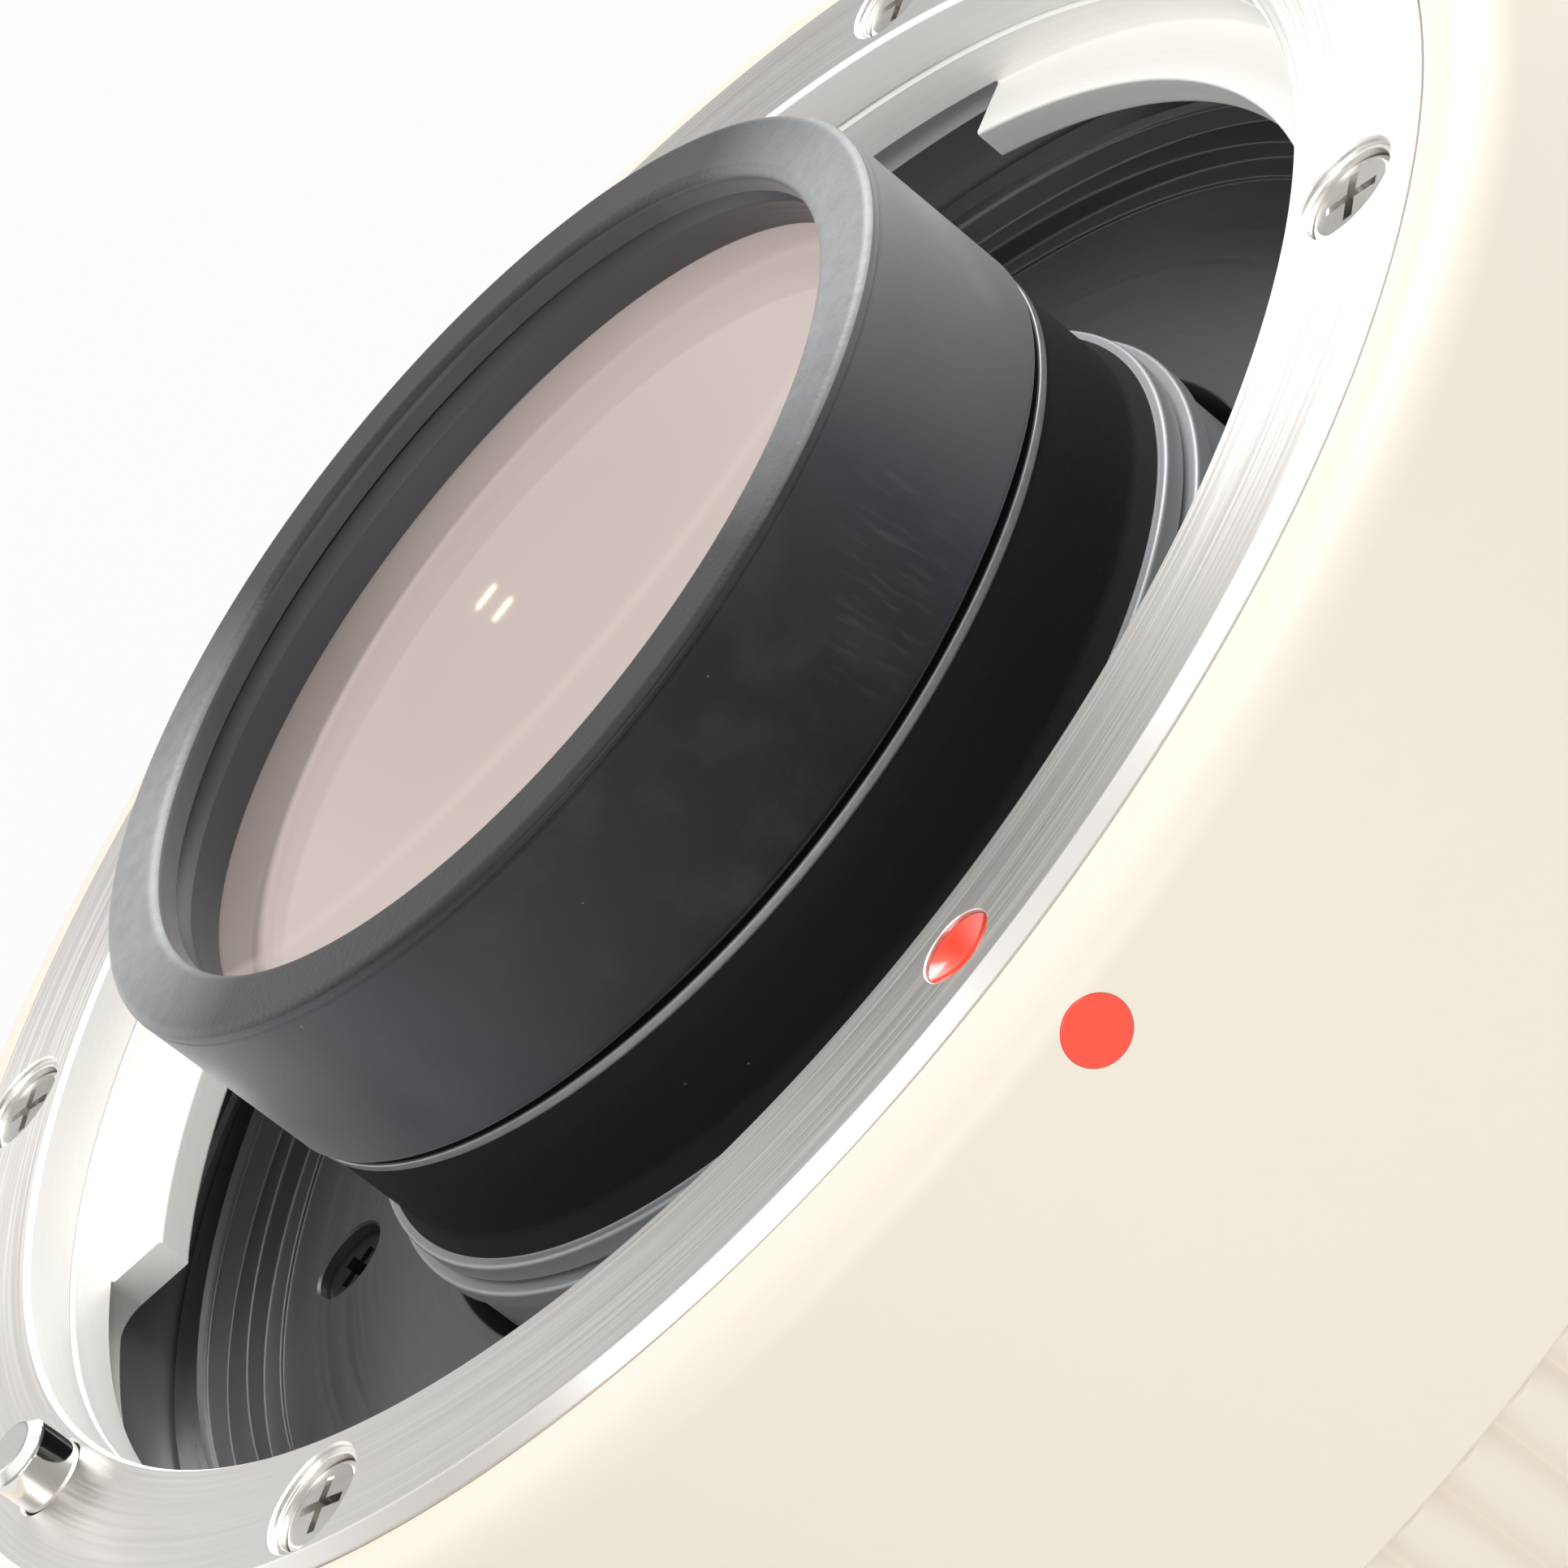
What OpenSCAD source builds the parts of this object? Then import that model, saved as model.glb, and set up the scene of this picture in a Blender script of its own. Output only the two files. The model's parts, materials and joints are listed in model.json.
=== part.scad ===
// Camera teleconverter: a short lens barrel between a female bayonet at the
// front and a male bayonet at the rear. Millimetres, +Z along the optical axis
// to the front, origin at the centre of the rear seating face.

/* [Bayonet] */
// Radius of the bayonet throat
throat_r = 27; // [26:0.1:29]
// Distance between the rear and front seating faces
flange_gap = 27.3; // [26.5:0.1:32]
// Radial width of the front mount ring
ring_w = 4.55; // [4.4:0.05:6]
// Height of the front mount ring
ring_h = 4.6; // [4.4:0.1:5.4]
// Depth of the claws' front faces below the seating face
claw_depth = 3.4; // [2.9:0.1:3.6]
// Radial reach of each claw into the throat
claw_reach = 2.2; // [1.6:0.1:2.6]
// Angle that each claw spans
claw_span = 60; // [52:1:64]
// Angle of the leading end of the first claw
claw_end_a = 155; // [150:1:157]
// Radial gap of a spigot in the throat
spigot_gap = 0.05; // [0.03:0.01:0.1]
// Radial wall of the rear spigot's neck
neck_wall = 0.9; // [0.8:0.1:1.4]
// Angle that each rear lug stays short of a claw, at either end
lug_short_a = 3; // [2:0.5:5]
// Thickness of the rear mount plate
plate_t = 2.2; // [1.8:0.1:2.8]

/* [Body] */
// Wall of the outer shell
shell_wall = 2.3; // [1.8:0.1:3.2]
// Radius of the shell's rounded front edge
shell_edge_r = 1.3; // [0.8:0.1:1.6]
// Length of the ribbed grip ring
grip_len = 7.9; // [6:0.1:9]
// Number of ribs around the grip ring
rib_count = 96; // [72:4:120]
// Height of a rib
rib_h = 0.55; // [0.3:0.05:0.9]
// Depth of the well floor below the front seating face
well_depth = 8.7; // [8.2:0.1:9.6]
// Height of each step in the wall of the well
step_h = 0.85; // [0.6:0.05:1]
// Width of each step in the wall of the well
step_w = 0.9; // [0.6:0.1:1.2]
// Thickness of the well floor
floor_t = 3; // [2.6:0.1:3.6]

/* [Lens barrel] */
// Radius of the black band of the lens barrel
band_r = 16.25; // [15.8:0.05:16.8]
// Height of the rubber sleeve's front end above the front seating face
sleeve_top = 5.95; // [5.5:0.05:8]
// Depth of the barrel lip below the front seating face
lip_depth = 0.87; // [0.6:0.01:1.2]
// Wall of the rubber sleeve
sleeve_wall = 0.7; // [0.5:0.05:0.8]
// Radius of the lens elements in the front of the barrel
front_glass_r = 14.9; // [14.2:0.1:14.9]
// Radius of the clear opening in the front retaining ring
front_clear_r = 14.4; // [13.4:0.1:14.4]
// Radius of the cemented pair
pair_r = 12.4; // [11.8:0.1:12.5]
// Radius of the rear element
rear_glass_r = 11; // [10:0.1:11.4]
// Thickness of the barrel's screw flange
barrel_flange_t = 2.4; // [2:0.1:3]
// Length of the rear cell behind the screw flange
rear_cell_len = 11.2; // [10.6:0.1:11.4]

/* [Screws and marks] */
// Radius of a mount screw's head
mount_head_r = 1.45; // [1.2:0.05:1.6]
// Radius of a mount screw's shank
mount_shank_r = 0.8; // [0.6:0.05:0.9]
// Angle of the mount screws from the side axis
mount_screw_a = 40; // [35:1:46]
// Radius of the red mark on the mount ring
mark_r = 1.1; // [0.8:0.1:1.4]
// Radius of the red dot on the body
dot_r = 0.95; // [0.7:0.05:1.2]
// Depth of the body dot below the front seating face
dot_depth = 2.5; // [2.4:0.1:4]

/* [Lock and contacts] */
// Angle of the lock pin around the axis
lock_a = -174; // [-178:1:-170]
// Radius of the lock pin
lock_pin_r = 1.2; // [0.9:0.05:1.3]
// Height of the lock pin above the seating face at rest
lock_rise = 1.6; // [1:0.1:2]
// Travel of the release slider
release_travel = 2.4; // [1.8:0.1:2.6]
// Angle between two contact pins
pin_pitch_a = 4.4; // [4:0.1:4.5]
// Radius of a contact pin
pin_r = 0.5; // [0.4:0.05:0.55]
// Travel of a contact pin
pin_travel = 0.8; // [0.5:0.1:1]
// Height of a contact pin above its block at rest
pin_rise = 1; // [0.9:0.1:1.2]

/* [Hidden] */
$fn = 96;

// Small overlap that makes a cut pass through a face
cut = 0.2;
// Radial gap between pieces that stay together
seat_gap = 0.05;
// Gap beside a piece that slides
slide_gap = 0.3;
// Radial clearance of a running fit
run_gap = 0.05;

// Heights along the axis
front_z = flange_gap;
ring_z = front_z - ring_h;
claw_z = front_z - claw_depth;
throat_wall_h = claw_depth - 0.1;
floor_z = front_z - well_depth;
floor_under_z = floor_z - floor_t;
flange_under_z = floor_under_z - barrel_flange_t;
sleeve_z = front_z + sleeve_top;
lip_z = front_z - lip_depth;
lip_t = 0.25;

// Radii of the mount and the body
ring_chamfer = 0.4;
ring_r = throat_r + ring_w;
claw_r = throat_r - claw_reach;
relief_r = throat_r + 1;
barrel_r = ring_r - seat_gap;
shell_bore_r = ring_r + seat_gap;
body_r = shell_bore_r + shell_wall;
well_step_r = throat_r - 0.35;
well_r = well_step_r - step_w;
cavity_r = throat_r - 0.6;
claw_ends = [for (k = [0 : 2]) claw_end_a - 120 * k];

// Shell and grip ring along the axis
grip_z = 0.9;
shell_z = grip_z + grip_len;
shell_front_z = front_z - ring_chamfer;

// Circle of the mount screws and their counterbores
mount_screw_pcr = ring_r - 2.25;
mount_head_h = 0.9;
mount_head_depth = 0.45;
mount_shank_len = 7.6;
counterbore_gap = 0.1;
rim_step = 0.2;
mount_screw_angles = [mount_screw_a, 180 - mount_screw_a, -mount_screw_a, mount_screw_a - 180];

// Red marks
index_a = -90;
mark_pcr = ring_r - 2.2;
mark_depth = 0.25;
dot_sink = 0.3;
rear_index_a = index_a - 60;
bead_r = 1.1;

// Lock and release, seen along the radius at lock_a
lock_pcr = throat_r + 1.55;
slot_half = 4;
slot_in = throat_r - 0.1;
carrier_z = floor_under_z - 2.1;
carrier_h = 3;
carrier_in = slot_in + slide_gap + 0.1;
carrier_out = barrel_r - 0.5;
carrier_half = slot_half - slide_gap;
spring_len = 7;
slot_z = carrier_z - spring_len;
stem_half = 2;
stem_h = carrier_h - 0.4;
stem_z = carrier_z + 0.2;
knob_in = body_r + slide_gap;
knob_t = 1.5;
knob_half = 5;
knob_z = stem_z - release_travel - 0.7;
knob_h = stem_h + release_travel + 2.4;
knob_groove_r = 0.35;
spring_turns = 7;
spring_wire_r = 0.2;
spring_mean_r = 1.2;
spring_pos = (carrier_in + carrier_out) / 2;

// Front contacts
contact_a = 90;
pin_count = 10;
block_gap = 1.55;
block_w = 3.8;
block_out = well_r - block_gap;
block_in = block_out - block_w;
block_h = 5;
block_z = floor_z + block_h;
pin_pcr = (block_in + block_out) / 2;
pin_span_a = (pin_count - 1) * pin_pitch_a;
block_half_a = pin_span_a / 2 + 6;
pin_len = 3;
pin_z = block_z + pin_rise - pin_len;
pin_bore_z = floor_z + 1;
contact_spring_r = pin_r - 0.1;
contact_spring_bore_r = contact_spring_r - 0.15;
contact_screw_a = pin_span_a / 2 + 3.4;
contact_screw_pcr = pin_pcr;
contact_shank_r = 0.6;
contact_head_r = 1.1;
contact_head_h = 0.8;

// Lens barrel, from the floor of the well upwards
base_r = band_r + 0.8;
base_gap = 0.5;
ring_1_r = band_r + 0.65;
ring_2_r = band_r + 1;
ring_2_z = floor_z + 1.7;
ring_line_h = 0.2;
ring_tall = 0.7;
band_flare = 0.35;
sleeve_seat_r = band_r + 0.2 - sleeve_wall;
lip_r = band_r + 0.1;
sleeve_r = sleeve_seat_r + seat_gap + sleeve_wall - 0.05;
rim_edge_r = 0.25;
rim_in_r = front_clear_r + 0.1;
rim_line_z = sleeve_z - 0.4;
barrel_top_z = sleeve_z - 1.05;
barrel_flange_r = cavity_r - 2.2;
barrel_screw_pcr = well_r - 3.65;
barrel_screw_a = 152;
barrel_head_r = 1.3;
barrel_head_h = 1;
barrel_shank_r = 0.7;

// Lens elements
glass_gap = 0.1;
ball_sides = 720;
cement_t = 0.02;
front_vertex_z = front_z + 4.1;
front_surface_r = 120;
lens_1_back_r = 30;
lens_1_t = 1.8;
air_1 = 0.5;
lens_2_front_r = 30;
lens_2_back_r = 80;
lens_2_t = 6;
lens_2_vertex_z = front_vertex_z - lens_1_t - air_1;
spacer_in = front_glass_r - 1;
spacer_top_z = front_vertex_z - lens_1_t - sag(lens_1_back_r, spacer_in);
spacer_low_z = lens_2_vertex_z - sag(lens_2_front_r, spacer_in);
lens_2_low_z = lens_2_vertex_z - lens_2_t + sag(lens_2_back_r, spacer_in);
stop_r = pair_r - 0.5;
lens_2_seat_z = lens_2_vertex_z - lens_2_t + sag(lens_2_back_r, stop_r) - cement_t;
pair_bore_r = pair_r + glass_gap;
pair_front_h = 7.1;
pair_joint_h = 4.4;
pair_low_h = 0.7;
pair_top_z = flange_under_z + pair_front_h;
pair_low_z = flange_under_z + pair_low_h;
lens_3_front_r = 60;
pair_joint_r = 28;
pair_joint_z = flange_under_z + pair_joint_h;
lens_4_back_r = 45;
lens_4_vertex_z = pair_low_z - sag(lens_4_back_r, pair_r);
cell_neck_in = pair_r - 0.8;
cell_neck_z = lens_4_vertex_z + sag(lens_4_back_r, cell_neck_in) - cement_t;
cell_r = rear_glass_r + 2.6;
cell_low_z = flange_under_z - rear_cell_len;
cell_flange_r = cell_r + 2.4;
cell_flange_t = 2;
rear_seat_h = 4.6;
rear_seat_z = cell_low_z + rear_seat_h;
rear_clear_r = rear_glass_r - 1.4;
lens_5_front_r = 26;
lens_5_back_r = 60;
lens_5_t = 1.6;

// Rear mount
collar_r = throat_r - spigot_gap;
collar_h = claw_depth - 0.3;
lug_r = collar_r - 0.15;
lug_z = -(ring_h + 0.15);
lug_t = 1.35;
spigot_z = lug_z - lug_t;
neck_r = claw_r - 0.3;
spigot_in = neck_r - neck_wall;
plate_r = ring_r - 0.35;
plate_bore_r = spigot_in - 2.5;
ledge_z = 0.6;
rear_screw_pcr = throat_r + 2;
rear_head_r = 1.6;
rear_head_h = 1.2;
rear_shank_r = 0.8;
rear_shank_len = 4.4;
rear_screw_angles = [for (k = [0 : 3]) 45 + 90 * k];
rear_lock_r = lock_pin_r + 0.2;

// Rear baffle and rear contacts
baffle_r = spigot_in - 0.1;
baffle_z = spigot_z + 1.9;
baffle_t = 1.6;
baffle_rim_t = 1.1;
window_w = 24;
window_h = 17;
window_corner_r = 2;
baffle_screw_pcr = baffle_r - 1.4;
baffle_screw_angles = [-30, 210, 270];
baffle_head_r = 1;
baffle_head_h = 0.8;
baffle_shank_r = 0.55;
rear_block_half_a = pin_span_a / 2 + 6.7;
rear_block_w = 4.5;
rear_block_out = baffle_r - 0.1;
rear_block_in = rear_block_out - rear_block_w;
rear_block_z = spigot_z + 0.9;
rear_block_room_a = rear_block_half_a + 0.6;
pad_t = 0.15;
pad_len = 1.6;
pad_half = 0.55;
rear_contact_screw_a = rear_block_half_a - 2.2;
rear_head_seat_z = ledge_z - 1.2;
rear_screw_len = plate_t - rear_head_seat_z - 0.2;
rear_contact_pcr = baffle_r - 1.4;

// Flexible circuit between the two contact blocks
flex_half = 4.5;
flex_t = 0.3;
flex_y = pin_pcr;
flex_room = 0.4;

// Depth of a spherical surface at a radius
function sag(ball, r) = ball - sqrt(ball * ball - r * r);

// Ring of rectangular section between two angles
module arc_block(r0, r1, z0, z1, a0, a1) {
    rotate([0, 0, a0])
        rotate_extrude(angle = a1 - a0)
            translate([r0, z0])
                square([r1 - r0, z1 - z0]);
}

// Tube of rectangular section
module tube(r0, r1, z0, z1) {
    rotate_extrude()
        translate([r0, z0])
            square([r1 - r0, z1 - z0]);
}

// Plain cylinder from one height to another
module rod(r, z0, z1) {
    translate([0, 0, z0])
        cylinder(r = r, h = z1 - z0);
}

// Children at a radius and each of the angles
module at_polar(r, angles) {
    for (a = angles)
        rotate([0, 0, a])
            translate([r, 0, 0])
                children();
}

// Cross-head screw pointing down, with the top of its head at z = 0
module cross_screw(head_r, head_h, shank_r, shank_len) {
    slot_w = head_r * 0.32;
    slot_l = head_r * 1.15;
    slot_d = head_h * 0.55;
    difference() {
        union() {
            translate([0, 0, -head_h])
                cylinder(r = head_r, h = head_h);
            translate([0, 0, -head_h - shank_len])
                cylinder(r = shank_r, h = shank_len + head_h / 2);
        }
        for (a = [0, 90])
            rotate([0, 0, a + 35])
                translate([-slot_l / 2, -slot_w / 2, -slot_d])
                    cube([slot_l, slot_w, slot_d + cut]);
    }
}

// Tube of round section along a list of centre points, with its own side directions
function ring_at(p, side, r, sides) =
    [for (j = [0 : sides - 1])
        let (t = 360 * j / sides)
        p + r * cos(t) * side + [0, 0, r * sin(t)]];

// Coil spring standing on z = 0
module coil(mean_r, wire_r, height, turns) {
    sides = 6;
    steps = turns * 8;
    rise = (height - 2 * wire_r) / steps;
    pts = [for (i = [0 : steps])
        let (t = 45 * i)
        each ring_at([mean_r * cos(t), mean_r * sin(t), wire_r + i * rise], [cos(t), sin(t), 0], wire_r, sides)];
    walls = [for (i = [0 : steps - 1], j = [0 : sides - 1], half = [0, 1])
        let (a = i * sides + j, b = i * sides + (j + 1) % sides)
        half == 0 ? [a, b, b + sides] : [a, b + sides, a + sides]];
    low = [for (j = [1 : sides - 2]) [0, j + 1, j]];
    top = [for (j = [1 : sides - 2]) [steps * sides, steps * sides + j, steps * sides + j + 1]];
    echo(least_gap = (height - 2 * wire_r) / turns - 2 * wire_r);
    polyhedron(points = pts, faces = concat(walls, low, top), convexity = 10);
}

// Structural barrel: a black casting with the stepped well in its front
module main_barrel() {
    color("#1c1c1e")
    difference() {
        rotate_extrude()
            polygon([[base_r + base_gap, floor_under_z], [base_r + base_gap, floor_z],
                     [well_r, floor_z], [well_r, floor_z + step_h],
                     [well_step_r, floor_z + step_h], [well_step_r, floor_z + 2 * step_h],
                     [relief_r, floor_z + 2 * step_h], [relief_r, ring_z], [barrel_r, ring_z],
                     [barrel_r, plate_t], [cavity_r, plate_t], [cavity_r, floor_under_z]]);
        lock_slot();
        for (a = mount_screw_angles)
            rotate([0, 0, a])
                translate([mount_screw_pcr, 0, front_z - mount_head_depth - mount_head_h - mount_shank_len - cut])
                    cylinder(r = mount_shank_r + seat_gap, h = mount_shank_len + cut);
        at_polar(barrel_screw_pcr, [for (k = [0 : 3]) barrel_screw_a + 90 * k]) {
            rod(barrel_shank_r + seat_gap, floor_under_z - cut, floor_z + cut);
            rod(barrel_head_r + counterbore_gap, floor_z - barrel_head_h - 0.4, floor_z + cut);
        }
        at_polar(contact_screw_pcr, [contact_a - contact_screw_a, contact_a + contact_screw_a]) {
            rod(contact_shank_r + seat_gap, floor_under_z - cut, floor_z + cut);
            rod(contact_head_r + counterbore_gap, floor_under_z - cut, floor_under_z + contact_head_h + 0.1);
        }
        flex_way(floor_under_z - cut, floor_z + cut);
        at_polar(rear_screw_pcr, rear_screw_angles)
            rod(rear_shank_r + seat_gap, plate_t - cut, rear_head_h + rear_shank_len + cut);
        rotate([0, 0, lock_a])
            translate([lock_pcr, 0, plate_t - cut])
                cylinder(r = rear_lock_r, h = plate_t + cut);
    }
}

// Space for the lock carrier, its spring and the pin
module lock_slot() {
    rotate([0, 0, lock_a])
        translate([slot_in, -slot_half, slot_z])
            cube([barrel_r - slot_in + cut, 2 * slot_half, ring_z - slot_z + cut]);
}

// Way for the flexible circuit
module flex_way(z0, z1) {
    translate([-flex_half - flex_room, flex_y - flex_room, z0])
        cube([2 * (flex_half + flex_room), flex_t + 2 * flex_room, z1 - z0]);
}

// Painted outer shell with its rounded front edge
module outer_shell() {
    color("#efe7d6")
    difference() {
        rotate_extrude()
            difference() {
                union() {
                    translate([shell_bore_r, shell_z])
                        square([shell_wall, shell_front_z - shell_edge_r - shell_z]);
                    translate([shell_bore_r, shell_z])
                        square([shell_wall - shell_edge_r, shell_front_z - shell_z]);
                    translate([body_r - shell_edge_r, shell_front_z - shell_edge_r])
                        circle(r = shell_edge_r);
                }
                translate([shell_bore_r - 2 * shell_edge_r, shell_z])
                    square([2 * shell_edge_r, shell_front_z]);
            }
        stem_slot();
        rotate([0, 0, index_a])
            translate([body_r - dot_sink, 0, front_z - dot_depth])
                rotate([0, 90, 0])
                    cylinder(r = dot_r + seat_gap, h = dot_sink + cut);
    }
}

// Slot in the shell for the stem of the release slider
module stem_slot() {
    low = stem_z - release_travel - slide_gap;
    rotate([0, 0, lock_a])
        translate([shell_bore_r - 1, -stem_half - slide_gap, low])
            cube([shell_wall + 2, 2 * (stem_half + slide_gap), stem_z + stem_h + slide_gap - low]);
}

// Grip ring with rounded axial ribs
module grip_ring() {
    rib_r = PI * body_r / rib_count * 1.08;
    crest_r = body_r - 0.1;
    color("#ece4d2")
    difference() {
        translate([0, 0, grip_z])
            linear_extrude(height = grip_len)
                difference() {
                    union() {
                        circle(r = crest_r - rib_h);
                        for (k = [0 : rib_count - 1])
                            rotate(360 * k / rib_count)
                                translate([crest_r - rib_r, 0])
                                    circle(r = rib_r, $fn = 24);
                    }
                    circle(r = shell_bore_r);
                }
        rotate_extrude()
            polygon([[crest_r - 1, grip_z - cut], [crest_r + cut, grip_z - cut],
                     [crest_r + cut, grip_z + 1], [crest_r, grip_z + 1]]);
        rotate([0, 0, rear_index_a])
            translate([body_r - rib_h - 0.5, 0, grip_z + 2.6])
                rotate([0, 90, 0])
                    cylinder(r = bead_r + seat_gap, h = 2);
    }
}

// Front mount ring: a female bayonet with three claws
module front_mount_ring() {
    edge = 0.15;
    groove = 0.12;
    groove_z = front_z - 1.7;
    color("#d6d4cf")
    difference() {
        rotate_extrude()
            polygon([[throat_r, front_z - edge], [throat_r + edge, front_z],
                     [ring_r - ring_chamfer, front_z], [ring_r, front_z - ring_chamfer],
                     [ring_r, ring_z], [claw_r, ring_z], [claw_r, claw_z], [throat_r, claw_z],
                     [throat_r, groove_z - 2 * groove], [throat_r + groove, groove_z - groove],
                     [throat_r, groove_z]]);
        for (a = claw_ends)
            rotate([0, 0, a])
                claw_gap();
        at_polar(mount_screw_pcr, mount_screw_angles) {
            rod(mount_shank_r + counterbore_gap, ring_z - cut, front_z + cut);
            rod(mount_head_r + counterbore_gap, front_z - mount_head_depth - mount_head_h, front_z + cut);
            rod(mount_head_r + counterbore_gap + rim_step, front_z - rim_step, front_z + cut);
        }
        rotate([0, 0, lock_a])
            translate([lock_pcr, 0, ring_z - cut])
                cylinder(r = lock_pin_r + run_gap, h = ring_h + 2 * cut);
        at_polar(mark_pcr, [index_a])
            rod(mark_r + seat_gap, front_z - mark_depth, front_z + cut);
    }
}

// Space between two claws, with rounded outer corners
module claw_gap() {
    corner_r = 0.9;
    gap_a = 120 - claw_span;
    turn = asin(corner_r / (relief_r - corner_r));
    translate([0, 0, ring_z - cut])
        linear_extrude(height = front_z - throat_wall_h - ring_z + cut) {
            wedge(relief_r - corner_r, 0, gap_a);
            wedge(relief_r, turn, gap_a - turn);
            for (a = [turn, gap_a - turn])
                rotate(a)
                    translate([relief_r - corner_r, 0])
                        circle(r = corner_r);
        }
}

// Flat sector of a disc between two angles
module wedge(r, a0, a1) {
    mid = (a0 + a1) / 2;
    intersection() {
        circle(r = r);
        polygon([[0, 0], 2 * r * [cos(a0), sin(a0)], 2 * r * [cos(mid), sin(mid)], 2 * r * [cos(a1), sin(a1)]]);
    }
}

// Four screws that hold the front mount ring
module front_mount_screws() {
    color("#dcdad5")
    at_polar(mount_screw_pcr, mount_screw_angles)
        translate([0, 0, front_z - mount_head_depth])
            cross_screw(mount_head_r, mount_head_h, mount_shank_r, mount_shank_len);
}

// Split spring ring with three rising leaves, behind the claws
module mount_spring() {
    ring_t = 0.3;
    leaf_t = 0.25;
    leaf_a = 38;
    leaf_tilt = 3.6;
    leaf_margin = 0.2;
    gap_a = 8;
    in_r = well_step_r + 0.15;
    out_r = relief_r - 0.15;
    base_z = floor_z + 2 * step_h;
    color("#b9b7b2") {
        arc_block(in_r, out_r, base_z, base_z + ring_t, lock_a + gap_a, lock_a + 360 - gap_a);
        for (k = [0 : 2])
            rotate([0, 0, claw_end_a - claw_span + 10 - 120 * k])
                translate([0, 0, base_z + leaf_t / 2])
                    rotate([leaf_tilt, 0, 0])
                        arc_block(in_r + leaf_margin, out_r - leaf_margin, 0, leaf_t, 0, leaf_a);
    }
}

// Red mark set into the face of the mount ring
module ring_index_mark() {
    color("#d4261c")
    at_polar(mark_pcr, [index_a])
        rod(mark_r, front_z - mark_depth, front_z - 0.05);
}

// Red dot set into the side of the shell
module body_index_dot() {
    proud = 0.02;
    color("#e0281e")
    rotate([0, 0, index_a])
        translate([body_r - dot_sink, 0, front_z - dot_depth])
            rotate([0, 90, 0])
                cylinder(r = dot_r, h = dot_sink + proud);
}

// Lock pin standing through the mount ring
module lock_pin() {
    tip = 0.3;
    color("#d9d7d2")
    rotate([0, 0, lock_a])
        translate([lock_pcr, 0, 0]) {
            rod(lock_pin_r, carrier_z + carrier_h, front_z + lock_rise - tip);
            translate([0, 0, front_z + lock_rise - tip])
                cylinder(r1 = lock_pin_r, r2 = lock_pin_r - tip, h = tip);
        }
}

// Carrier that joins the release slider to the lock pin
module lock_carrier() {
    color("#9a9894")
    rotate([0, 0, lock_a])
        translate([carrier_in, -carrier_half, carrier_z])
            cube([carrier_out - carrier_in, 2 * carrier_half, carrier_h]);
}

// Release slider on the side of the body
module release_slider() {
    color("#26262a")
    rotate([0, 0, lock_a])
        difference() {
            union() {
                translate([carrier_out, -stem_half, stem_z])
                    cube([knob_in + 0.5 - carrier_out, 2 * stem_half, stem_h]);
                intersection() {
                    tube(knob_in, knob_in + knob_t, knob_z, knob_z + knob_h);
                    translate([0, -knob_half, knob_z])
                        cube([2 * body_r, 2 * knob_half, knob_h]);
                }
            }
            for (k = [-2 : 2])
                translate([knob_in + knob_t, 0, knob_z + knob_h / 2 + k * 3 * knob_groove_r])
                    rotate([90, 0, 0])
                        cylinder(r = knob_groove_r, h = 3 * knob_half, center = true);
        }
}

// Return spring under the carrier
module lock_spring() {
    color("#c4c2bd")
    rotate([0, 0, lock_a])
        translate([spring_pos, 0, slot_z])
            coil(spring_mean_r, spring_wire_r, spring_len, spring_turns);
}

// Insulating block of the front contacts, standing in the well
module front_contact_block() {
    color("#17171a")
    difference() {
        arc_block(block_in, block_out, floor_z, block_z, contact_a - block_half_a, contact_a + block_half_a);
        for (i = [1 : pin_count])
            at_pin(i)
                rod(pin_r + run_gap, pin_bore_z, block_z + cut);
        at_polar(contact_screw_pcr, [contact_a - contact_screw_a, contact_a + contact_screw_a])
            rod(contact_shank_r + seat_gap, floor_z - cut, floor_z + 3);
    }
}

// Children at the place of contact pin i
module at_pin(i) {
    rotate([0, 0, contact_a - pin_span_a / 2 + (i - 1) * pin_pitch_a])
        translate([pin_pcr, 0, 0])
            children();
}

// Two screws that hold the front contact block from below
module front_contact_screws() {
    color("#8e8c88")
    at_polar(contact_screw_pcr, [contact_a - contact_screw_a, contact_a + contact_screw_a])
        translate([0, 0, floor_under_z + 0.1])
            rotate([180, 0, 0])
                cross_screw(contact_head_r, contact_head_h, contact_shank_r, floor_t + 1.6);
}

// One sprung contact pin with a rounded tip
module contact_pin(i) {
    color("#d8b25a")
    at_pin(i) {
        rod(pin_r, pin_z, pin_z + pin_len - pin_r);
        translate([0, 0, pin_z + pin_len - pin_r])
            sphere(r = pin_r);
    }
}

// Spring under one contact pin
module contact_spring(i) {
    color("#b8b6b0")
    at_pin(i)
        tube(contact_spring_bore_r, contact_spring_r, pin_bore_z, pin_z);
}

// Flexible circuit from the front contacts to the rear contacts
module flex_circuit() {
    color("#8a5a26")
    translate([-flex_half, flex_y, ledge_z])
        cube([2 * flex_half, flex_t, floor_z - ledge_z]);
}

// Insulating block of the rear contacts
module rear_contact_block() {
    color("#17171a")
    difference() {
        arc_block(rear_block_in, rear_block_out, rear_block_z, ledge_z,
                  contact_a - rear_block_half_a, contact_a + rear_block_half_a);
        at_polar(rear_contact_pcr, [contact_a - rear_contact_screw_a, contact_a + rear_contact_screw_a]) {
            rod(baffle_shank_r + seat_gap, rear_block_z - cut, ledge_z + cut);
            rod(baffle_head_r + counterbore_gap, rear_block_z - cut, rear_head_seat_z);
        }
        for (i = [1 : pin_count])
            at_pad(i)
                pad_shape(pad_half + seat_gap, pad_len / 2 + seat_gap);
    }
}

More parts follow.
